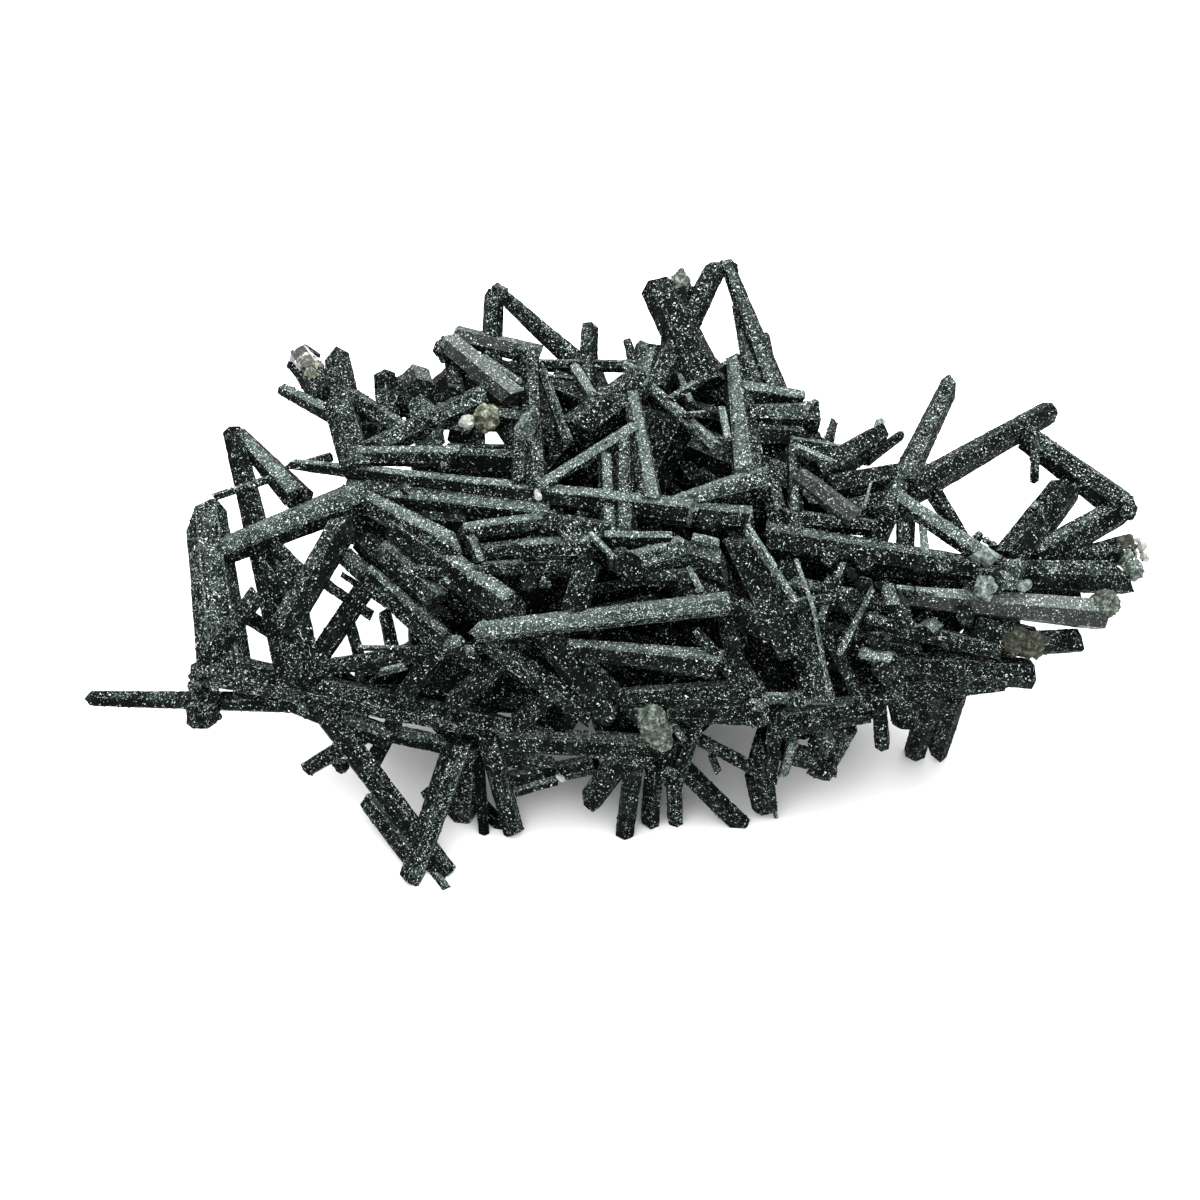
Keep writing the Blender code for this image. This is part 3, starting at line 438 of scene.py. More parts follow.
def growKnob(across, up, depth, radius, flatness=0.8):
    # a rounded, crusted crystal end
    place = spot(across, up, frontDepth(across, up) + depth, knobShape["rest"] * radius)
    turned = Euler([lookDice.uniform(0.0, math.tau) for _ in range(3)])
    bpy.ops.mesh.primitive_ico_sphere_add(subdivisions=2, radius=radius * millimetre,
                                          location=place * millimetre, rotation=turned,
                                          scale=(1.0, flatness, knobShape["height"]))
    knob = bpy.context.object
    toneFacets(knob, turned.to_matrix(), knobShape["paleness"])
    return knob


def growStub(across, up, depth, width, dice):
    # a short crystal broken off just after it leaves the mass, facing the front
    away = [dice.uniform(*stubShape["lean"]) for _ in range(2)]
    front = frontDepth(across, up) + depth
    root = front - stubShape["root"] * width
    p = spot(across - away[0] * width, up - away[1] * width, root, stubShape["rest"])
    q = spot(across, up, front + stubShape["reach"] * width, stubShape["rest"])
    return growCrystal(p, q, width, width * dice.uniform(*stubShape["taper"]), "b", dice)


def joinCrystals(crystals, name):
    deselectAll()
    for crystal in crystals:
        crystal.select_set(True)
    bpy.context.view_layer.objects.active = crystals[0]
    if len(crystals) > 1:
        bpy.ops.object.join()
    piece = bpy.context.object
    bpy.ops.object.transform_apply(location=True, rotation=True, scale=True)
    piece.name = name
    piece.data.name = name
    piece.data.validate()
    return piece


# relief: name, kind of texture, size and height; sharp: angle that keeps an edge; fineness: times split
crustSettings = {
    "tip": {"relief": [("lumps", "CLOUDS", 0.9, 0.8), ("grit", "CLOUDS", 0.35, 0.5)],
            "sharp": 30.0, "fineness": 3},
    "knob": {"relief": [("lumps", "VORONOI", 1.3, -0.9), ("grit", "CLOUDS", 0.5, 0.4)],
             "sharp": 30.0, "fineness": 2},
    "front": {"relief": [("lumps", "CLOUDS", 2.4, 0.12), ("grit", "CLOUDS", 0.6, 0.12)],
              "sharp": 34.0, "fineness": 2},
    "smooth": {"relief": [("lumps", "CLOUDS", 2.6, 0.12), ("grit", "CLOUDS", 0.7, 0.08)],
               "sharp": 38.0, "fineness": 2},
    "hidden": {"relief": [("lumps", "CLOUDS", 2.4, 0.2), ("grit", "CLOUDS", 0.9, 0.25)],
               "sharp": 38.0, "fineness": 2},
    "small": {"relief": [("lumps", "CLOUDS", 2.0, 0.2), ("grit", "CLOUDS", 0.9, 0.2)],
              "sharp": 38.0, "fineness": 1},
}


def applyModifiers(piece):
    deselectAll()
    piece.select_set(True)
    bpy.context.view_layer.objects.active = piece
    for modifier in list(piece.modifiers):
        bpy.ops.object.modifier_apply(modifier=modifier.name)


def addCrust(piece, settings):
    # split the squares finely and roughen the skin
    fine = piece.modifiers.new("fine", "SUBSURF")
    fine.subdivision_type = "SIMPLE"
    fine.levels = settings["fineness"]
    for name, kind, size, height in settings["relief"]:
        texture = bpy.data.textures.new(name, kind)
        texture.noise_scale = size * millimetre
        relief = piece.modifiers.new(name, "DISPLACE")
        relief.texture = texture
        relief.texture_coords = "LOCAL"
        relief.mid_level = 0.5
        relief.strength = height * millimetre
    applyModifiers(piece)
    bpy.ops.object.shade_smooth_by_angle(angle=math.radians(settings["sharp"]))


quartzIor = 1.544
# how deep the skin of a crystal and the grains of a pale end look, in metres
skinDepth = 0.0002
grainDepth = 0.0003
# the noises that break up the coats, the flakes, the clear quartz and the pale quartz
noises = {
    "mottle": {"Scale": 380.0, "Detail": 6.0, "Roughness": 0.7},
    "grit": {"Scale": 3000.0, "Detail": 4.0},
    "wobble": {"Scale": 3600.0, "Detail": 1.0},
    "veils": {"Scale": 700.0, "Detail": 5.0},
    "cloud": {"Scale": 1400.0, "Detail": 5.0, "Roughness": 0.6},
}
# the cells that the pale flakes and painted glints fill: how many, how uneven in metres, and where one fades
# out
flakeCells = {"scale": 2600.0, "share": 0.2, "unevenness": (0.0006, 0.0006, 0.0006), "fade": (0.6, 0.42)}


def addNode(tree, kind, sockets=None, **settings):
    # a node with its settings; each socket is set to a value or linked to another node's output
    node = tree.nodes.new(kind)
    for name, value in settings.items():
        setattr(node, name, value)
    for name, value in (sockets or {}).items():
        if isinstance(value, bpy.types.NodeSocket):
            tree.links.new(value, node.inputs[name])
        else:
            node.inputs[name].default_value = value
    return node


def calculate(tree, operation, *values):
    return addNode(tree, "ShaderNodeMath", dict(enumerate(values)), operation=operation).outputs[0]


def noiseOf(tree, place, kind):
    return addNode(tree, "ShaderNodeTexNoise", {"Vector": place, **noises[kind]}).outputs


def makeScatter(name, sizes, tilt):
    # small copies of one grain strewn over a surface and made real, along with the surface
    tree = bpy.data.node_groups.new(name, "GeometryNodeTree")
    inputs = {"Geometry": "Geometry", "Grain": "Object", "Density": "Float", "Seed": "Int"}
    for socketName, kind in inputs.items():
        tree.interface.new_socket(socketName, in_out="INPUT", socket_type="NodeSocket" + kind)
    tree.interface.new_socket("Geometry", in_out="OUTPUT", socket_type="NodeSocketGeometry")
    start = addNode(tree, "NodeGroupInput").outputs
    grain = addNode(tree, "GeometryNodeObjectInfo", {"Object": start["Grain"]})
    size = addNode(tree, "FunctionNodeRandomValue", {2: sizes[0], 3: sizes[1]}, data_type="FLOAT")
    tip = addNode(tree, "FunctionNodeRandomValue", {0: (-tilt, -tilt, -math.pi), 1: (tilt, tilt, math.pi)},
                  data_type="FLOAT_VECTOR")
    strew = addNode(tree, "GeometryNodeDistributePointsOnFaces", {
        "Mesh": start["Geometry"], "Density": start["Density"], "Seed": start["Seed"]})
    place = addNode(tree, "GeometryNodeInstanceOnPoints", {
        "Points": strew.outputs["Points"], "Instance": grain.outputs["Geometry"],
        "Rotation": strew.outputs["Rotation"], "Scale": size.outputs[1]})
    turn = addNode(tree, "GeometryNodeRotateInstances", {
        "Instances": place.outputs["Instances"], "Rotation": tip.outputs[0], "Local Space": True})
    real = addNode(tree, "GeometryNodeRealizeInstances", {"Geometry": turn.outputs["Instances"]})
    both = addNode(tree, "GeometryNodeJoinGeometry", {"Geometry": start["Geometry"]})
    tree.links.new(real.outputs["Geometry"], both.inputs["Geometry"])
    addNode(tree, "NodeGroupOutput", {"Geometry": both.outputs["Geometry"]})
    return tree


def shaderGroup(name, inputs, outputs):
    tree = bpy.data.node_groups.new(name, "ShaderNodeTree")
    for socketName, kind, value in inputs:
        socket = tree.interface.new_socket(socketName, in_out="INPUT", socket_type=kind)
        if value is not None:
            socket.default_value = value
    for socketName in outputs:
        tree.interface.new_socket(socketName, in_out="OUTPUT", socket_type="NodeSocketFloat")
    return tree, addNode(tree, "NodeGroupInput").outputs


def makeSpeckleGroup():
    # small spots, a random share of small uneven cells, each with its own brightness: pale chlorite flakes
    # and painted glints on the coats, dark specks on the pale quartz
    tree, given = shaderGroup("chloriteSpeckle", [
        ("Vector", "NodeSocketVector", None),
        ("Scale", "NodeSocketFloat", flakeCells["scale"]),
        ("Share", "NodeSocketFloat", flakeCells["share"]),
    ], ["Mask", "Brightness"])
    wobble = noiseOf(tree, given["Vector"], "wobble")
    centred = addNode(tree, "ShaderNodeVectorMath", {0: wobble["Color"], 1: (0.5, 0.5, 0.5)},
                      operation="SUBTRACT")
    shifted = addNode(tree, "ShaderNodeVectorMath", {
        0: centred.outputs["Vector"], 1: flakeCells["unevenness"], 2: given["Vector"]},
        operation="MULTIPLY_ADD")
    cells = addNode(tree, "ShaderNodeTexVoronoi", {
        "Vector": shifted.outputs["Vector"], "Scale": given["Scale"]}, feature="F1")
    split = addNode(tree, "ShaderNodeSeparateColor", {"Color": cells.outputs["Color"]})
    chosen = calculate(tree, "LESS_THAN", split.outputs["Red"], given["Share"])
    near = spanOf(tree, cells.outputs["Distance"], 0.0, 1.0, *flakeCells["fade"])
    mask = calculate(tree, "MULTIPLY", chosen, near)
    addNode(tree, "NodeGroupOutput", {"Mask": mask, "Brightness": split.outputs["Green"]})
    return tree


def makeEdgeGroup():
    # 1 along the edges between the six facets, from the crystal's own unwrapping, falling to 0 inside them
    tree, given = shaderGroup("facetEdges", [("Width", "NodeSocketFloat", 0.08)], ["Edge"])
    unwrap = addNode(tree, "ShaderNodeUVMap", uv_map="UVMap")
    split = addNode(tree, "ShaderNodeSeparateXYZ", {"Vector": unwrap.outputs["UV"]})
    facets = calculate(tree, "MULTIPLY", split.outputs["X"], 6.0)
    away = calculate(tree, "PINGPONG", facets, 0.5)
    edge = spanOf(tree, away, 1.0, 0.0, 0.0, given["Width"])
    addNode(tree, "NodeGroupOutput", {"Edge": edge})
    return tree


def newMaterial(name):
    material = bpy.data.materials.new(name)
    material.use_nodes = True
    tree = material.node_tree
    place = addNode(tree, "ShaderNodeTexCoord")
    return material, tree, tree.nodes["Principled BSDF"].inputs, place.outputs["Object"]


def rampOf(tree, value, stops):
    ramp = addNode(tree, "ShaderNodeValToRGB", {"Fac": value})
    elements = ramp.color_ramp.elements
    while len(elements) < len(stops):
        elements.new(0.5)
    for element, (position, colour) in zip(elements, stops):
        element.position = position
        element.color = (*colour, 1.0)
    return ramp.outputs["Color"]


def mixColour(tree, factor, a, b):
    b = (*b, 1.0) if isinstance(b, tuple) else b
    mix = addNode(tree, "ShaderNodeMix", {"Factor": factor, "A": a, "B": b}, data_type="RGBA")
    return mix.outputs["Result"]


def flakesOf(tree, speckle, place, scale, share):
    return addNode(tree, "ShaderNodeGroup", {"Vector": place, "Scale": scale, "Share": share},
                   node_tree=speckle).outputs


def spanOf(tree, value, low, high, fromLow=0.0, fromHigh=1.0):
    span = addNode(tree, "ShaderNodeMapRange", {
        "Value": value, "From Min": fromLow, "From Max": fromHigh, "To Min": low, "To Max": high})
    return span.outputs["Result"]


def addBump(tree, shader, height, strength, distance=skinDepth):
    bump = addNode(tree, "ShaderNodeBump", {"Strength": strength, "Distance": distance, "Height": height})
    tree.links.new(bump.outputs["Normal"], shader["Normal"])


def makeCoatMaterial(name, speckle, edges, look):
    material, tree, shader, place = newMaterial(name)
    mottle = noiseOf(tree, place, "mottle")["Fac"]
    base = rampOf(tree, mottle, look["base"])
    # the facet's tone with its painted top light, paler along its edges, partly pale flakes and partly a
    # painted edge highlight, broken up by the mottle
    facet = addNode(tree, "ShaderNodeAttribute", attribute_name="facetTone")
    paleEdgeAndHighlight = addNode(tree, "ShaderNodeGroup", node_tree=edges)
    edged = calculate(tree, "MULTIPLY_ADD", paleEdgeAndHighlight.outputs["Edge"], look["edge"], facet.outputs["Fac"])
    patches = spanOf(tree, mottle, -0.5, 0.5, 0.3, 0.7)
    tone = spanOf(tree, calculate(tree, "MULTIPLY_ADD", patches, look["patchiness"], edged), 0.0, 1.0)
    # tone above one half mixes in the pale film, partly pale crust and partly a painted sheen on the facets
    # that face up
    paleFilmAndSheen = mixColour(tree, spanOf(tree, tone, 0.0, look["filmShare"], 0.5, 1.0), base, look["paleFilmAndSheen"])
    # fine and large spots: pale chlorite flakes, the brightest of them painted glints
    fine = flakesOf(tree, speckle, place, look["fineScale"], spanOf(tree, tone, *look["fineShare"]))
    speckled = mixColour(tree, fine["Mask"], paleFilmAndSheen, rampOf(tree, fine["Brightness"], look["fine"]))
    large = flakesOf(tree, speckle, place, look["flakeScale"], spanOf(tree, tone, *look["flakeShare"]))
    colour = mixColour(tree, large["Mask"], speckled, rampOf(tree, large["Brightness"], look["flakeAndGlint"]))
    tree.links.new(colour, shader["Base Color"])
    tree.links.new(spanOf(tree, large["Mask"], look["rough"], look["flakeRough"]), shader["Roughness"])
    shader["Specular IOR Level"].default_value = look["specular"]
    addBump(tree, shader, noiseOf(tree, place, "grit")["Fac"], look["bump"])
    return material


def makeClearMaterial(name, look):
    material, tree, shader, place = newMaterial(name)
    veils = noiseOf(tree, place, "veils")["Fac"]
    tree.links.new(rampOf(tree, veils, look["tint"]), shader["Base Color"])
    shader["Roughness"].default_value = look["rough"]
    shader["IOR"].default_value = quartzIor
    shader["Transmission Weight"].default_value = 1.0
    depth = addNode(tree, "ShaderNodeVolumeAbsorption", {
        "Color": look["absorbed"], "Density": look["density"]})
    tree.links.new(depth.outputs["Volume"], tree.nodes["Material Output"].inputs["Volume"])
    addBump(tree, shader, veils, look["bump"])
    return material


def makePaleMaterial(name, speckle, look):
    material, tree, shader, place = newMaterial(name)
    cloud = noiseOf(tree, place, "cloud")["Fac"]
    specks = flakesOf(tree, speckle, place, look["speckScale"], look["speckShare"])
    colour = mixColour(tree, specks["Mask"], rampOf(tree, cloud, look["body"]), look["speck"])
    tree.links.new(colour, shader["Base Color"])
    shader["Roughness"].default_value = look["rough"]
    shader["IOR"].default_value = quartzIor
    shader["Specular IOR Level"].default_value = look["specular"]
    addBump(tree, shader, cloud, look["bump"], grainDepth)
    return material


speckle = makeSpeckleGroup()
edges = makeEdgeGroup()
coatLook = {
    "base": [(0.3, (0.0005, 0.0009, 0.0008)), (0.5, (0.0017, 0.0027, 0.0024)), (0.7, (0.008, 0.0112, 0.01))],
    # the pale film is partly pale crust and partly a painted sheen
    "paleFilmAndSheen": (0.055, 0.073, 0.066), "filmShare": 0.75, "patchiness": 0.4, "edge": 0.42,
    # the brightest fine and flake spots are painted glints off the chlorite flakes, partly the flakes' own
    # pale colour
    "fine": [(0.0, (0.004, 0.006, 0.0055)), (0.45, (0.025, 0.035, 0.032)),
             (0.75, (0.14, 0.18, 0.165)), (1.0, (0.65, 0.78, 0.73))],
    "fineScale": 7600.0, "fineShare": (0.05, 0.55),
    "flakeAndGlint": [(0.0, (0.03, 0.042, 0.038)), (0.5, (0.22, 0.275, 0.25)), (1.0, (0.95, 1.0, 0.97))],
    "flakeScale": 6600.0, "flakeShare": (0.035, 0.18),
    "rough": 0.75, "flakeRough": 0.4, "specular": 0.03, "bump": 0.7,
}
thinLook = {
    **coatLook,
    "base": [(0.3, (0.003, 0.004, 0.0036)), (0.55, (0.01, 0.0117, 0.0105)), (0.75, (0.026, 0.029, 0.026))],
    "paleFilmAndSheen": (0.062, 0.073, 0.066), "filmShare": 0.9, "fineShare": (0.12, 0.4), "flakeShare": (0.03, 0.14),
    "rough": 0.45, "specular": 0.14, "bump": 0.4,
}
lightLook = {
    **coatLook,
    "base": [(0.3, (0.004, 0.006, 0.0052)), (0.55, (0.014, 0.019, 0.017)), (0.75, (0.05, 0.063, 0.057))],
    "paleFilmAndSheen": (0.08, 0.105, 0.095), "fineShare": (0.25, 0.6), "flakeShare": (0.1, 0.3),
}
# a darker coat: painted shade on the crystals deep in the mass, and the own dark colour of the blades in the
# clear points
darkAndShadedLook = {
    **coatLook,
    "base": [(0.3, (0.0003, 0.0005, 0.0004)), (0.5, (0.0008, 0.0013, 0.0011)), (0.7, (0.004, 0.0056, 0.005))],
    "paleFilmAndSheen": (0.03, 0.04, 0.036), "fineShare": (0.02, 0.4), "flakeShare": (0.015, 0.12),
}
coat = makeCoatMaterial("chloriteCoat", speckle, edges, coatLook)
thinCoat = makeCoatMaterial("thinCoat", speckle, edges, thinLook)
lightCoat = makeCoatMaterial("lightGrains", speckle, edges, lightLook)
darkAndShadedCoat = makeCoatMaterial("darkAndShadedCoat", speckle, edges, darkAndShadedLook)
clear = makeClearMaterial("clearQuartz", {
    "tint": [(0.42, (0.93, 0.94, 0.95)), (0.62, (0.62, 0.62, 0.66))],
    "absorbed": (0.74, 0.78, 0.77, 1.0), "density": 80.0, "rough": 0.06, "bump": 0.25,
})
pale = makePaleMaterial("paleQuartz", speckle, {
    "body": [(0.36, (0.014, 0.019, 0.0155)), (0.5, (0.046, 0.06, 0.049)), (0.66, (0.2, 0.24, 0.2))],
    "speck": (0.006, 0.009, 0.007), "speckScale": 4200.0, "speckShare": 0.35,
    "rough": 0.5, "specular": 0.2, "bump": 0.8,
})
yellow = makePaleMaterial("yellowCrust", speckle, {
    "body": [(0.36, (0.022, 0.025, 0.016)), (0.5, (0.085, 0.093, 0.062)), (0.66, (0.3, 0.31, 0.23))],
    "speck": (0.008, 0.011, 0.007), "speckScale": 4200.0, "speckShare": 0.4,
    "rough": 0.5, "specular": 0.3, "bump": 0.8,
})
milky = makePaleMaterial("milkyGrain", speckle, {
    "body": [(0.3, (0.16, 0.165, 0.15)), (0.5, (0.28, 0.285, 0.265)), (0.72, (0.45, 0.455, 0.43))],
    "speck": (0.05, 0.055, 0.05), "speckScale": 5000.0, "speckShare": 0.22,
    "rough": 0.4, "specular": 0.5, "bump": 0.6,
})
frosted = makePaleMaterial("frostedEnd", speckle, {
    "body": [(0.34, (0.038, 0.052, 0.047)), (0.5, (0.1, 0.128, 0.117)), (0.68, (0.26, 0.305, 0.285))],
    "speck": (0.013, 0.021, 0.018), "speckScale": 3800.0, "speckShare": 0.35,
    "rough": 0.5, "specular": 0.15, "bump": 0.6,
})
brown = makePaleMaterial("brownCrust", speckle, {
    "body": [(0.34, (0.007, 0.0078, 0.0056)), (0.5, (0.026, 0.028, 0.02)), (0.68, (0.085, 0.089, 0.068))],
    "speck": (0.003, 0.004, 0.003), "speckScale": 4200.0, "speckShare": 0.3,
    "rough": 0.65, "specular": 0.1, "bump": 0.8,
})
print("materials ready")


def makeGrain(name, sides, squash, tone):
    # one grain, 1 mm in radius, with the tone that all its copies have
    if sides:
        bpy.ops.mesh.primitive_cylinder_add(vertices=sides, radius=millimetre,
                                            depth=2.0 * squash * millimetre)
    else:
        bpy.ops.mesh.primitive_ico_sphere_add(subdivisions=1, radius=millimetre, scale=(1.0, 0.85, squash))
        bpy.ops.object.transform_apply(location=False, rotation=False, scale=True)
    grain = bpy.context.object
    grain.name = name
    tones = grain.data.attributes.new("facetTone", "FLOAT", "FACE")
    for value in tones.data:
        value.value = tone
    return grain


def addGrains(piece, seed):
    # dark grains all over the crust, then paler flakes on both
    for kind, (tree, grain) in strewn.items():
        modifier = piece.modifiers.new(kind, "NODES")
        modifier.node_group = tree
        values = {"Grain": grain, "Density": grainSettings[kind]["density"], "Seed": seed}
        for item in tree.interface.items_tree:
            if item.in_out == "INPUT" and item.name in values:
                modifier[item.identifier] = values[item.name]
    applyModifiers(piece)


def finishPiece(name, parts, crust, material, node, grainSeed=None):
    # join what was grown, crust it over, strew it with grains, and set it in place of its CAD node
    piece = joinCrystals(parts, name)
    if crust:
        addCrust(piece, crustSettings[crust])
    if grainSeed is not None:
        addGrains(piece, grainSeed)
    piece.data.materials.clear()
    piece.data.materials.append(material)
    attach(piece, "root")
    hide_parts(node)
    print(name, len(piece.data.polygons), "faces")


# the coated crystals that show from the front, and how pale each is painted, which scales its flakes and its
# painted top light
pieceGroups = {
    "leftCrystals": ["leftEnd", "leftLattice"],
    "upperLeftCrystals": ["upperLeft", "topLeft"],
    "topCrystals": ["topCentre"],
    "centreCrystals": ["centreLeft", "lowerCentre"],
    "centreRightCrystals": ["centreRight"],
    "rightCrystals": ["rightTop", "rightEnd"],
    "legCrystals": ["legs"],
}
paleForms = {"l": 1.9, "m": 1.4, "k": 1.1}
paleGroups = {"leftEnd": 1.3, "leftLattice": 1.2, "legs": 1.3, "rightTop": 0.55, "rightEnd": 0.6}
paleRange = (0.3, 1.05)
dice = random.Random(7)
grown = {}
thin = []
taken = []
for groupName, rows in crystalRows.items():
    grown[groupName] = []
    for row in rows:
        paleness = lookDice.uniform(*paleRange) * paleGroups.get(groupName, 1.0)
        form = formOf(row)
        paleness = paleForms.get(form[-1], paleness)
        taken.append((*axisOf(row), 0.5 * (row[3] + row[7])))
        (thin if "g" in form else grown[groupName]).append(growRow(row, dice, paleness))
print("front crystals:", len(taken))


def growBehind(settings):
    crystals = []
    for p, q, width in crystalsBehind(settings, taken):
        end = width * dice.uniform(*settings["taper"])
        crystals.append(growCrystal(p, q, width, end, "b", dice, settings["paleness"]))
    return crystals


behind = growBehind(hiddenCrystals)
print("crystals behind:", len(behind))
between = growBehind(smallCrystals)
print("small crystals between:", len(between))

# grains on the front crystals: sides of one (0 for a round one), flatness, tone, sizes in millimetres,
# tilt in radians and how many on a square metre
grainSettings = {
    "grainScatter": {"name": "darkGrain", "sides": 0, "squash": 0.7, "tone": 0.12,
                     "sizes": (0.07, 0.2), "tilt": 0.6, "density": 240000.0},
    "flakeScatter": {"name": "paleFlake", "sides": 5, "squash": 0.25, "tone": 1.0,
                     "sizes": (0.03, 0.085), "tilt": 0.5, "density": 200000.0},
}
strewn = {}
for kind, look in grainSettings.items():
    strewn[kind] = (makeScatter(kind, look["sizes"], look["tilt"]),
                    makeGrain(look["name"], look["sides"], look["squash"], look["tone"]))
for seed, (name, groupNames) in enumerate(pieceGroups.items()):
    crystals = [crystal for groupName in groupNames for crystal in grown[groupName]]
    finishPiece(name, crystals, "front", coat, "crystal_cluster", seed)
for tree, grain in strewn.values():
    bpy.data.objects.remove(grain)

# splinters and thin crystals that fill the gaps of the mass
twigRows = [
    (-37.5, 16.9, 1, 1, -33.4, 17.9, 1, 1.2), (-6.5, 28, 1, 0.6, -3.3, 27.6, 1, 0.6),
    (-7.3, 28.8, 0.2, 1.2, -4, 19.6, 1.6, 1.3), (-14.5, 30, 0.2, 1.5, -9.8, 26.6, 0.6, 1.5),
    (-16, 7.5, 2.6, 1.5, -14.7, 4.5, 3, 1.5), (-21.7, -24.4, -1, 1.6, -20, -23, -1, 1.6),
    (-17.5, -20, 0.6, 0.6, -17.4, -22.5, 0.6, 0.5), (-10.5, -24, -1, 1.3, -5, -22.4, -1, 1.3),
    (-30, -6, 0.6, 0.8, -24, -6, 0.6, 0.8), (10.4, 23, 2.2, 0.9, 13.3, 23.3, 2.4, 0.8),
    (6.6, 30.9, -0.4, 1.8, 5.6, 26, 0.4, 1.8), (0.6, 7.7, 2, 1.9, 9, 7.6, 2, 1.9),
    (13.9, -19.3, -1, 0.9, 14.8, -21.6, -1, 0.9), (52, 9.4, -0.4, 0.6, 53, 7.8, 0, 0.6),
    (45.6, 2, 3, 1, 47, 1.2, 3, 0.9), (9.3, 29.2, -1, 1.2, 11.4, 24.2, -0.4, 1.4),
    (52.6, 3.2, 2.2, 1.4, 48.2, 5.8, 1.8, 1.5), (22.8, -1, 2.4, 1.6, 31.8, 0.8, 2, 1.4),
    (30.4, 4.6, 1.6, 1.2, 27.4, -2.8, 2, 1.4), (34, 1.4, 1.8, 1.2, 29.8, -6.8, 2.4, 1.5),
]
# the same, deep between the others, painted darker as shade
deepTwigRows = [
    (-43, 9, -3, 2, -37, 3, -3, 2), (-16.5, -24, -3, 2.4, -12, -28.5, ground, 2),
    (-15.2, -19, -3, 1.6, -14.5, -29.2, ground, 1.5), (18.8, -21.5, -2, 1.6, 19.9, -26.3, -2, 1.6),
    (20.6, 33, -3, 1.2, 21.8, 25.6, -2, 1.6), (37.6, 20.6, -3.4, 1.2, 33.2, 17.4, -2.6, 1.6),
    (-20.4, 17.2, -1.6, 3.4, -8.4, 16.8, -1.6, 3.4), (-18.2, 23.4, -2.6, 2.6, -9.6, 22, -2.6, 3),
    (-19, 18.1, -3, 2.9, -9, 17.9, -3, 2.9), (-15.5, 23, -3.4, 2.3, -15.3, 16.6, -3, 2.3),
    (-11, 23, -3, 2.2, -11.2, 16.8, -2.6, 2), (-18.2, 20.8, -3.6, 2.8, -15.4, 20, -3.4, 2.8),
    (-31, 21.4, -3.4, 2.8, -25.6, 21, -3, 2.8), (-21.5, 9.6, -4, 2.6, -15.6, 9.2, -4, 2.6),
    (-21, -6.2, -5, 2.8, -14.2, -6.6, -5, 2.8), (33.5, 3.2, -3, 2.4, 38.6, 3, -3, 2.4),
    (41.2, 2, -2.8, 2.6, 47.4, 1.6, -2.8, 2.6), (50, 0.8, -3.4, 2, 60.5, 0.6, -3.4, 2),
    (-29.6, 7.4, -2.6, 3, -23.6, 0.6, -2.2, 3), (-26.4, 24.6, -1.6, 2.6, -21.6, 24.2, -1.4, 2.6),
    (36.2, 12, -1.4, 3, 33.6, 5.6, -2.6, 3), (29.6, 10.4, -2.6, 4, 37.6, 12.4, -2.6, 3.6),
    (46.5, -2.6, -3.2, 2.4, 53, -3.4, -3.2, 2.4), (41, -6.6, -3.4, 2.6, 48.5, -7.2, -3.4, 2.4),
]
# bits painted pale: thin crystals and flat ends where pale flakes lie thick, and bright edges, partly a
# painted edge highlight
paleRows = [
    (-27.4, -9, 1, 0.9, -24.2, -8.2, 1, 0.9), (-3.2, 29, 0.8, 1.2, -0.9, 25.5, 1.2, 1.2),
    (15.2, 24, 2, 0.9, 16, 20, 2.2, 0.9), (24.5, 19, 0.8, 1.2, 29, 17, 0.4, 1.2),
    (35, 22.2, -1.4, 1.4, 34, 19, -1.2, 1.2), (34, 21, -1, 0.8, 29.5, 18.2, -0.6, 0.8),
    (34, 15.2, -0.2, 0.4, 33, 11.5, 0.4, 0.4), (-1.2, 8.3, 3.4, 0.8, 1.9, 5.1, 3.4, 0.8),
    (18.3, 9, 4, 1.2, 22, 3.5, 3.6, 1.1), (22, 3.5, 3.6, 1.1, 24.5, -0.5, 3.2, 1),
    (24.5, 5, 2.9, 0.5, 26.8, -1.5, 3.4, 0.5), (26.8, -1.5, 3.4, 0.5, 28.8, -12.5, 4, 0.5),
    (11.5, 7.8, 2.4, 1.3, 15, 7, 2.6, 1.3), (11, 4, 3.4, 0.8, 12.7, 1.2, 2.6, 0.8),
    (20, -12.2, 2, 1.3, 29, -12.4, 2, 1.2), (9, -15.5, 1.6, 0.8, 10.5, -17.5, 1.2, 0.8),
    (20.5, -21, -1.2, 0.6, 22, -27.2, -1.2, 0.6), (24.2, -17.5, -2, 1.3, 22.8, -22, -2, 1.2),
    (40.7, 5, 0.4, 1.1, 40.2, 10.6, 0.2, 1), (35.9, 1.9, 2.6, 1.4, 36.6, -0.8, 2.8, 1.7),
    (37.1, 1.5, 2.4, 0.9, 41.9, 0.9, 2.4, 0.9), (19, -12.6, 2.2, 1.4, 18.8, -15.4, 2.2, 1.4),
    (32.9, -6.6, 2.2, 1.6, 36.4, -7.4, 2.2, 1.6), (66, 5, -0.6, 2.6, 67.2, 2.9, -0.4, 2.4),
]
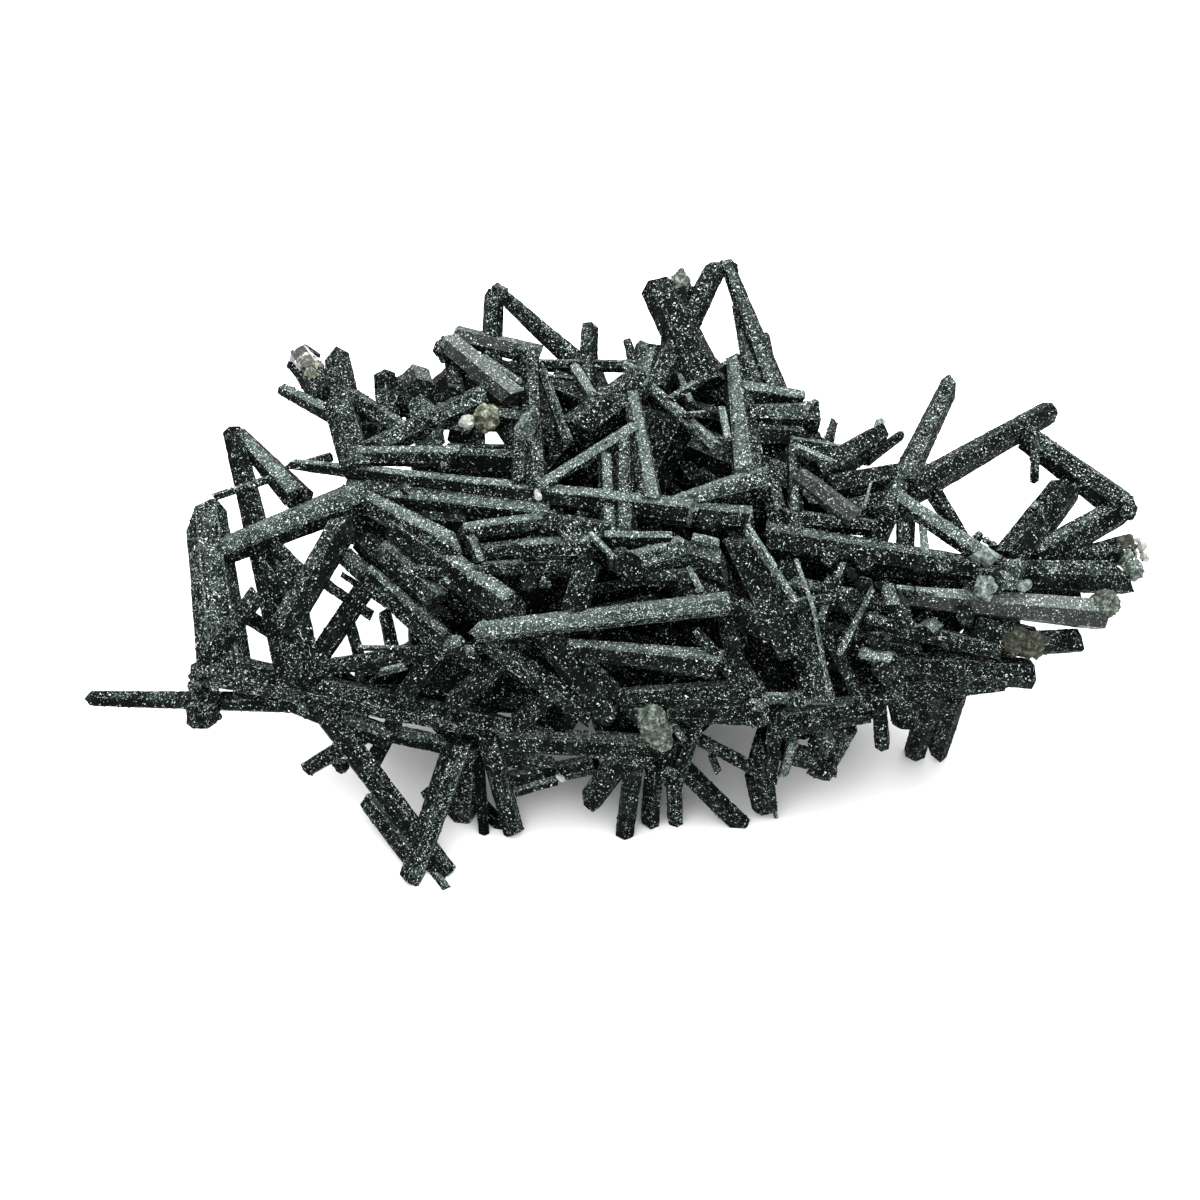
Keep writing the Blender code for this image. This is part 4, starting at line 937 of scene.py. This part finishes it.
# rounded ends: across, up, depth, radius
knobRows = [
    (-19.4, 16.6, 3, 0.6), (-24.3, 13.7, 3.6, 0.8), (-19.2, 2, 3.2, 0.9), (-7, 2.2, 3, 0.7),
    (-18.3, -5.7, 2.4, 1.3), (-16.2, -7.3, 2.4, 1.3), (-37, -14, 0.4, 1.1), (-32.5, -20.7, -1.5, 1),
    (26.2, 23.7, 0.6, 1.4), (8.8, -22, 1.8, 1.2), (28, -18, -1.6, 2), (40.7, 16.3, -0.8, 0.9),
    (54.3, 11.5, -0.6, 1.1), (47.1, 7.8, 1, 0.7), (48.3, 7.3, 1.2, 0.6), (49.2, 6.8, 1.2, 0.6),
    (-49.5, -9.2, -1.4, 1.9), (-49.5, -11.4, -0.2, 2), (-49.6, -14, 0.2, 2.1), (19.4, -14, 2.4, 1.9),
    (65.2, 11.7, -0.9, 1.9), (-9.6, 30.6, 0, 1.4), (-18.9, 31.4, 0.8, 1.9), (16, 41.4, -6, 1.3),
    (-12.6, 38.2, -4.4, 1.3),
]
# short ends that face the front: across, up, depth, width
stubRows = [
    (-26.6, 27, 0.6, 3.4), (-22.3, 25.2, 1.4, 4.2), (-18.4, 25.6, 0.8, 2.3), (-24.8, 26.6, 0.2, 2.2),
    (-9.5, 20.7, 2.6, 3), (-9, 2.5, 3.4, 2), (28.9, 2, 2.2, 2.6), (32.6, 2, 2, 1.7), (31, -0.6, 2.4, 1.9),
    (48.2, 2.2, 2.8, 3.6), (52, 4.6, 1.8, 3.2), (34.6, -5.2, 2.6, 2.6), (36.2, -8.4, 2.4, 3),
    (24.6, -12.6, 2.6, 2.6), (3.8, 4.2, 3.6, 3.4), (13.4, 10.2, 2.6, 2.6), (-3.6, 8.6, 3.2, 2.8),
    (40.4, -4.4, 2.2, 2.6), (43, 4.4, 1.8, 2.2), (28.8, 5.4, 1.6, 2.4), (38.6, 1.2, 1.8, 2.2),
    (23, 3.6, 1.4, 2.6), (8.8, -22.6, 1, 2.4), (45.6, -1.6, 2, 2), (33.2, 4.8, 1.4, 2),
    (26.6, 13.4, 0.2, 2.6),
]
# knobs of other colours
milkyRows = [(-16.6, 22.2, 2.4, 0.85), (-7.9, 13.2, 4.4, 0.55), (-31.1, 17.2, 3.4, 0.45),
             (-5.0, -22.3, 0.0, 0.5)]
brownRows = [(53.2, -5.2, 0.4, 2.1, 0.7), (65.5, 6.9, -1.3, 1.2), (51.9, -5.1, 0.8, 1.8, 0.8),
             (54.3, -5.4, 0.7, 1.6, 0.8)]
paleKnobRows = [(48.3, 1.8, 3.5, 1.6, 0.9), (52.9, 1.8, 2.6, 0.9)]
greenKnobRows = [(51.6, 3.9, 2.6, 1.8), (50.6, 2.6, 2.4, 1.5)]
frostedRows = [(46.9, 6.2, 2.1, 2.1, 49.3, 4.6, 2.3, 2.2)]
trimDice = random.Random(21)


def growRows(rows, paleness):
    return [growRow(row, trimDice, paleness) for row in rows]


def growKnobs(rows):
    return [growKnob(*row) for row in rows]


trims = [
    # the inner, small and deep crystals get the dark coat and a low paleness, a painted shade for the depths
    # of the mass
    ("innerCrystals", behind + grown["backLegs"], "hidden", darkAndShadedCoat),
    ("smallCrystals", between, "small", darkAndShadedCoat),
    ("thinCoatCrystals", thin, "smooth", thinCoat),
    ("twigs", growRows(twigRows, 0.9), "smooth", coat),
    ("deepTwigs", growRows(deepTwigRows, 0.6), "smooth", darkAndShadedCoat),
    ("paleBits", growRows(paleRows, 1.6), "smooth", lightCoat),
    ("crystalStubs", [growStub(*row, trimDice) for row in stubRows], "smooth", coat),
    ("crustedKnobs", growKnobs(knobRows), "knob", coat),
    ("milkyGrains", growKnobs(milkyRows), "knob", milky),
    ("brownEnd", growKnobs(brownRows), "knob", brown),
    ("paleKnobs", growKnobs(paleKnobRows), "knob", frosted),
    ("greenKnobs", growKnobs(greenKnobRows), "knob", lightCoat),
    ("frostedEnd", growRows(frostedRows, 1.2), "smooth", frosted),
]
for name, parts, crust, material in trims:
    finishPiece(name, parts, crust, material, "crystal_cluster")

# what the crust has left bare: clear and pale points, then rounded pale ends
pointedTips = [
    ("clearTipLeft", "clear_tip_left", (-35.8, 28.0, -1.0, 3.7, -38.1, 31.5, -1.4, 3.1, "p"), None, clear),
    ("clearTipRight", "clear_tip_right", (65.0, 6.2, -2.2, 3.3, 68.2, 5.6, -2.2, 3.0, "s"), None, clear),
    ("paleTipTop", "pale_tip_top", (9.9, 38.6, -3.6, 2.4, 10.2, 41.5, -4.0, 2.2, "p"), "tip", pale),
]
roundedTips = [
    ("paleTipFront", "pale_tip_front", [(6.4, -14.7, 3.0, 1.9, 0.9), (7.0, -16.2, 3.3, 2.0, 0.9),
                                        (7.7, -17.6, 3.4, 1.4, 0.9)], pale),
    ("paleTipRight", "pale_tip_right", [(63.0, -0.5, 1.7, 1.95, 0.95)], pale),
    ("paleLump", "pale_lump", [(-14.2, 22.7, 1.4, 1.7, 0.95)], yellow),
]
for seed, (name, node, row, crust, material) in enumerate(pointedTips):
    finishPiece(name, [growRow(row, random.Random(seed))], crust, material, node)
for name, node, rows, material in roundedTips:
    finishPiece(name, growKnobs(rows), "tip", material, node)

# what grew on and inside the clear points: dark blades along their edges, crusts and white grains
bladeRows = {
    "bladesLeft": ("clear_tip_left", [
        (-38.6, 29.0, -0.4, 1.3, -36.9, 31.5, -0.7, 1.1), (-37.1, 31.6, -0.7, 1.1, -35.1, 30.1, -0.4, 1.3),
        (-38.5, 29.3, -0.4, 1.3, -35.7, 26.0, -0.2, 1.6),
    ]),
    "bladesRight": ("clear_tip_right", [
        (66.0, 7.4, -2.0, 0.4, 68.2, 7.0, -2.2, 0.3), (66.0, 5.0, -2.0, 0.4, 67.3, 4.9, -2.0, 0.3),
        (66.6, 6.4, -1.4, 0.3, 67.2, 4.6, -1.4, 0.3), (67.4, 7.0, -1.6, 0.25, 67.8, 4.8, -1.8, 0.25),
    ]),
}
tipCrusts = [
    ("yellowCrust", "clear_tip_left", [(-36.3, 29.5, 0.7, 1.2), (-35.6, 28.9, 0.9, 1.2),
                                       (-36.0, 27.8, 1.0, 1.2)], "tip", yellow),
    ("paleRim", "clear_tip_right", [(65.8, 5.0, -1.2, 1.5, 0.8), (66.4, 3.2, -0.6, 1.2, 0.8)], "knob", pale),
    ("whiteCrust", "clear_tip_right", [(67.5, 6.6, -1.7, 0.7), (68.0, 5.2, -1.9, 0.6), (67.0, 7.4, -1.8, 0.5),
                                       (67.4, 4.2, -1.7, 0.5), (67.0, 5.8, -1.2, 0.5)], "knob", milky),
    ("whiteVeil", "clear_tip_left", [(-37.3, 30.4, -0.3, 0.6), (-37.8, 29.6, -0.3, 0.5)], "knob", milky),
]
for name, (node, rows) in bladeRows.items():
    finishPiece(name, growRows(rows, 0.35), None, darkAndShadedCoat, node)
for name, node, rows, crust, material in tipCrusts:
    finishPiece(name, growKnobs(rows), crust, material, node)

# a white floor and sky, a lamp behind on the right and a weaker one in front
studio = {
    "floorSize": 3.0, "floorColour": (0.94, 0.94, 0.94, 1.0), "floorRough": 0.9, "floorSpecular": 0.1,
    "skyColour": (1.0, 1.0, 1.0, 1.0), "horizon": 1.2, "zenith": 2.3, "fullHeight": 0.9, "backdrop": 0.99,
    "lamps": [("keyLamp", 150.0, 66.0, 1.0, 1.2, 14.5), ("fillLamp", -10.0, 40.0, 1.6, 1.6, 10.5)],
    "lens": 200.0, "sensor": 36.0, "clipStart": 0.01,
}
deselectAll()
bpy.ops.mesh.primitive_plane_add(size=studio["floorSize"], location=(0.0, 0.0, 0.0))
floor = bpy.context.object
floor.name = "paleFloor"
floorMaterial = bpy.data.materials.new("paleFloor")
floorMaterial.use_nodes = True
floorShader = floorMaterial.node_tree.nodes["Principled BSDF"]
floorShader.inputs["Base Color"].default_value = studio["floorColour"]
floorShader.inputs["Roughness"].default_value = studio["floorRough"]
floorShader.inputs["Specular IOR Level"].default_value = studio["floorSpecular"]
floor.data.materials.append(floorMaterial)

# the sky is brighter overhead, and even where the camera sees it
world = bpy.data.worlds.new("studio")
bpy.context.scene.world = world
world.use_nodes = True
sky = world.node_tree.nodes["Background"]
sky.inputs["Color"].default_value = studio["skyColour"]
direction = addNode(world.node_tree, "ShaderNodeTexCoord")
height = addNode(world.node_tree, "ShaderNodeSeparateXYZ", {"Vector": direction.outputs["Generated"]})
fall = addNode(world.node_tree, "ShaderNodeMapRange", {
    "Value": height.outputs["Z"], "From Min": 0.0, "From Max": studio["fullHeight"],
    "To Min": studio["horizon"], "To Max": studio["zenith"]}, interpolation_type="SMOOTHSTEP")
seen = addNode(world.node_tree, "ShaderNodeLightPath")
strength = addNode(world.node_tree, "ShaderNodeMix", {
    "Factor": seen.outputs["Is Camera Ray"], "A": fall.outputs["Result"], "B": studio["backdrop"]})
world.node_tree.links.new(strength.outputs["Result"], sky.inputs["Strength"])
bpy.context.scene.view_settings.view_transform = "Standard"

middle = Vector((layout["aside"], layout["back"], layout["height"])) * millimetre


def placeInStudio(name, data, outward, distance):
    # looking at the middle of the cluster from a direction, metres away
    holder = bpy.data.objects.new(name, data)
    holder.location = middle + outward * distance
    holder.rotation_euler = outward.to_track_quat("Z", "Y").to_euler()
    bpy.context.scene.collection.objects.link(holder)
    return holder


for name, azimuth, elevation, distance, size, power in studio["lamps"]:
    # azimuth 0 is in front of the cluster, counted towards its right-hand end
    lamp = bpy.data.lights.new(name, "AREA")
    lamp.shape = "DISK"
    lamp.size = size
    lamp.energy = power
    turn = math.radians(azimuth)
    rise = math.radians(elevation)
    outward = Vector((math.sin(turn) * math.cos(rise), -math.cos(turn) * math.cos(rise), math.sin(rise)))
    placeInStudio(name, lamp, outward, distance)
cameraData = bpy.data.cameras.new("camera")
cameraData.lens = studio["lens"]
cameraData.sensor_width = studio["sensor"]
cameraData.clip_start = studio["clipStart"]
bpy.context.scene.camera = placeInStudio("camera", cameraData, sightLine, layout["sight"] * millimetre)
print("studio ready")
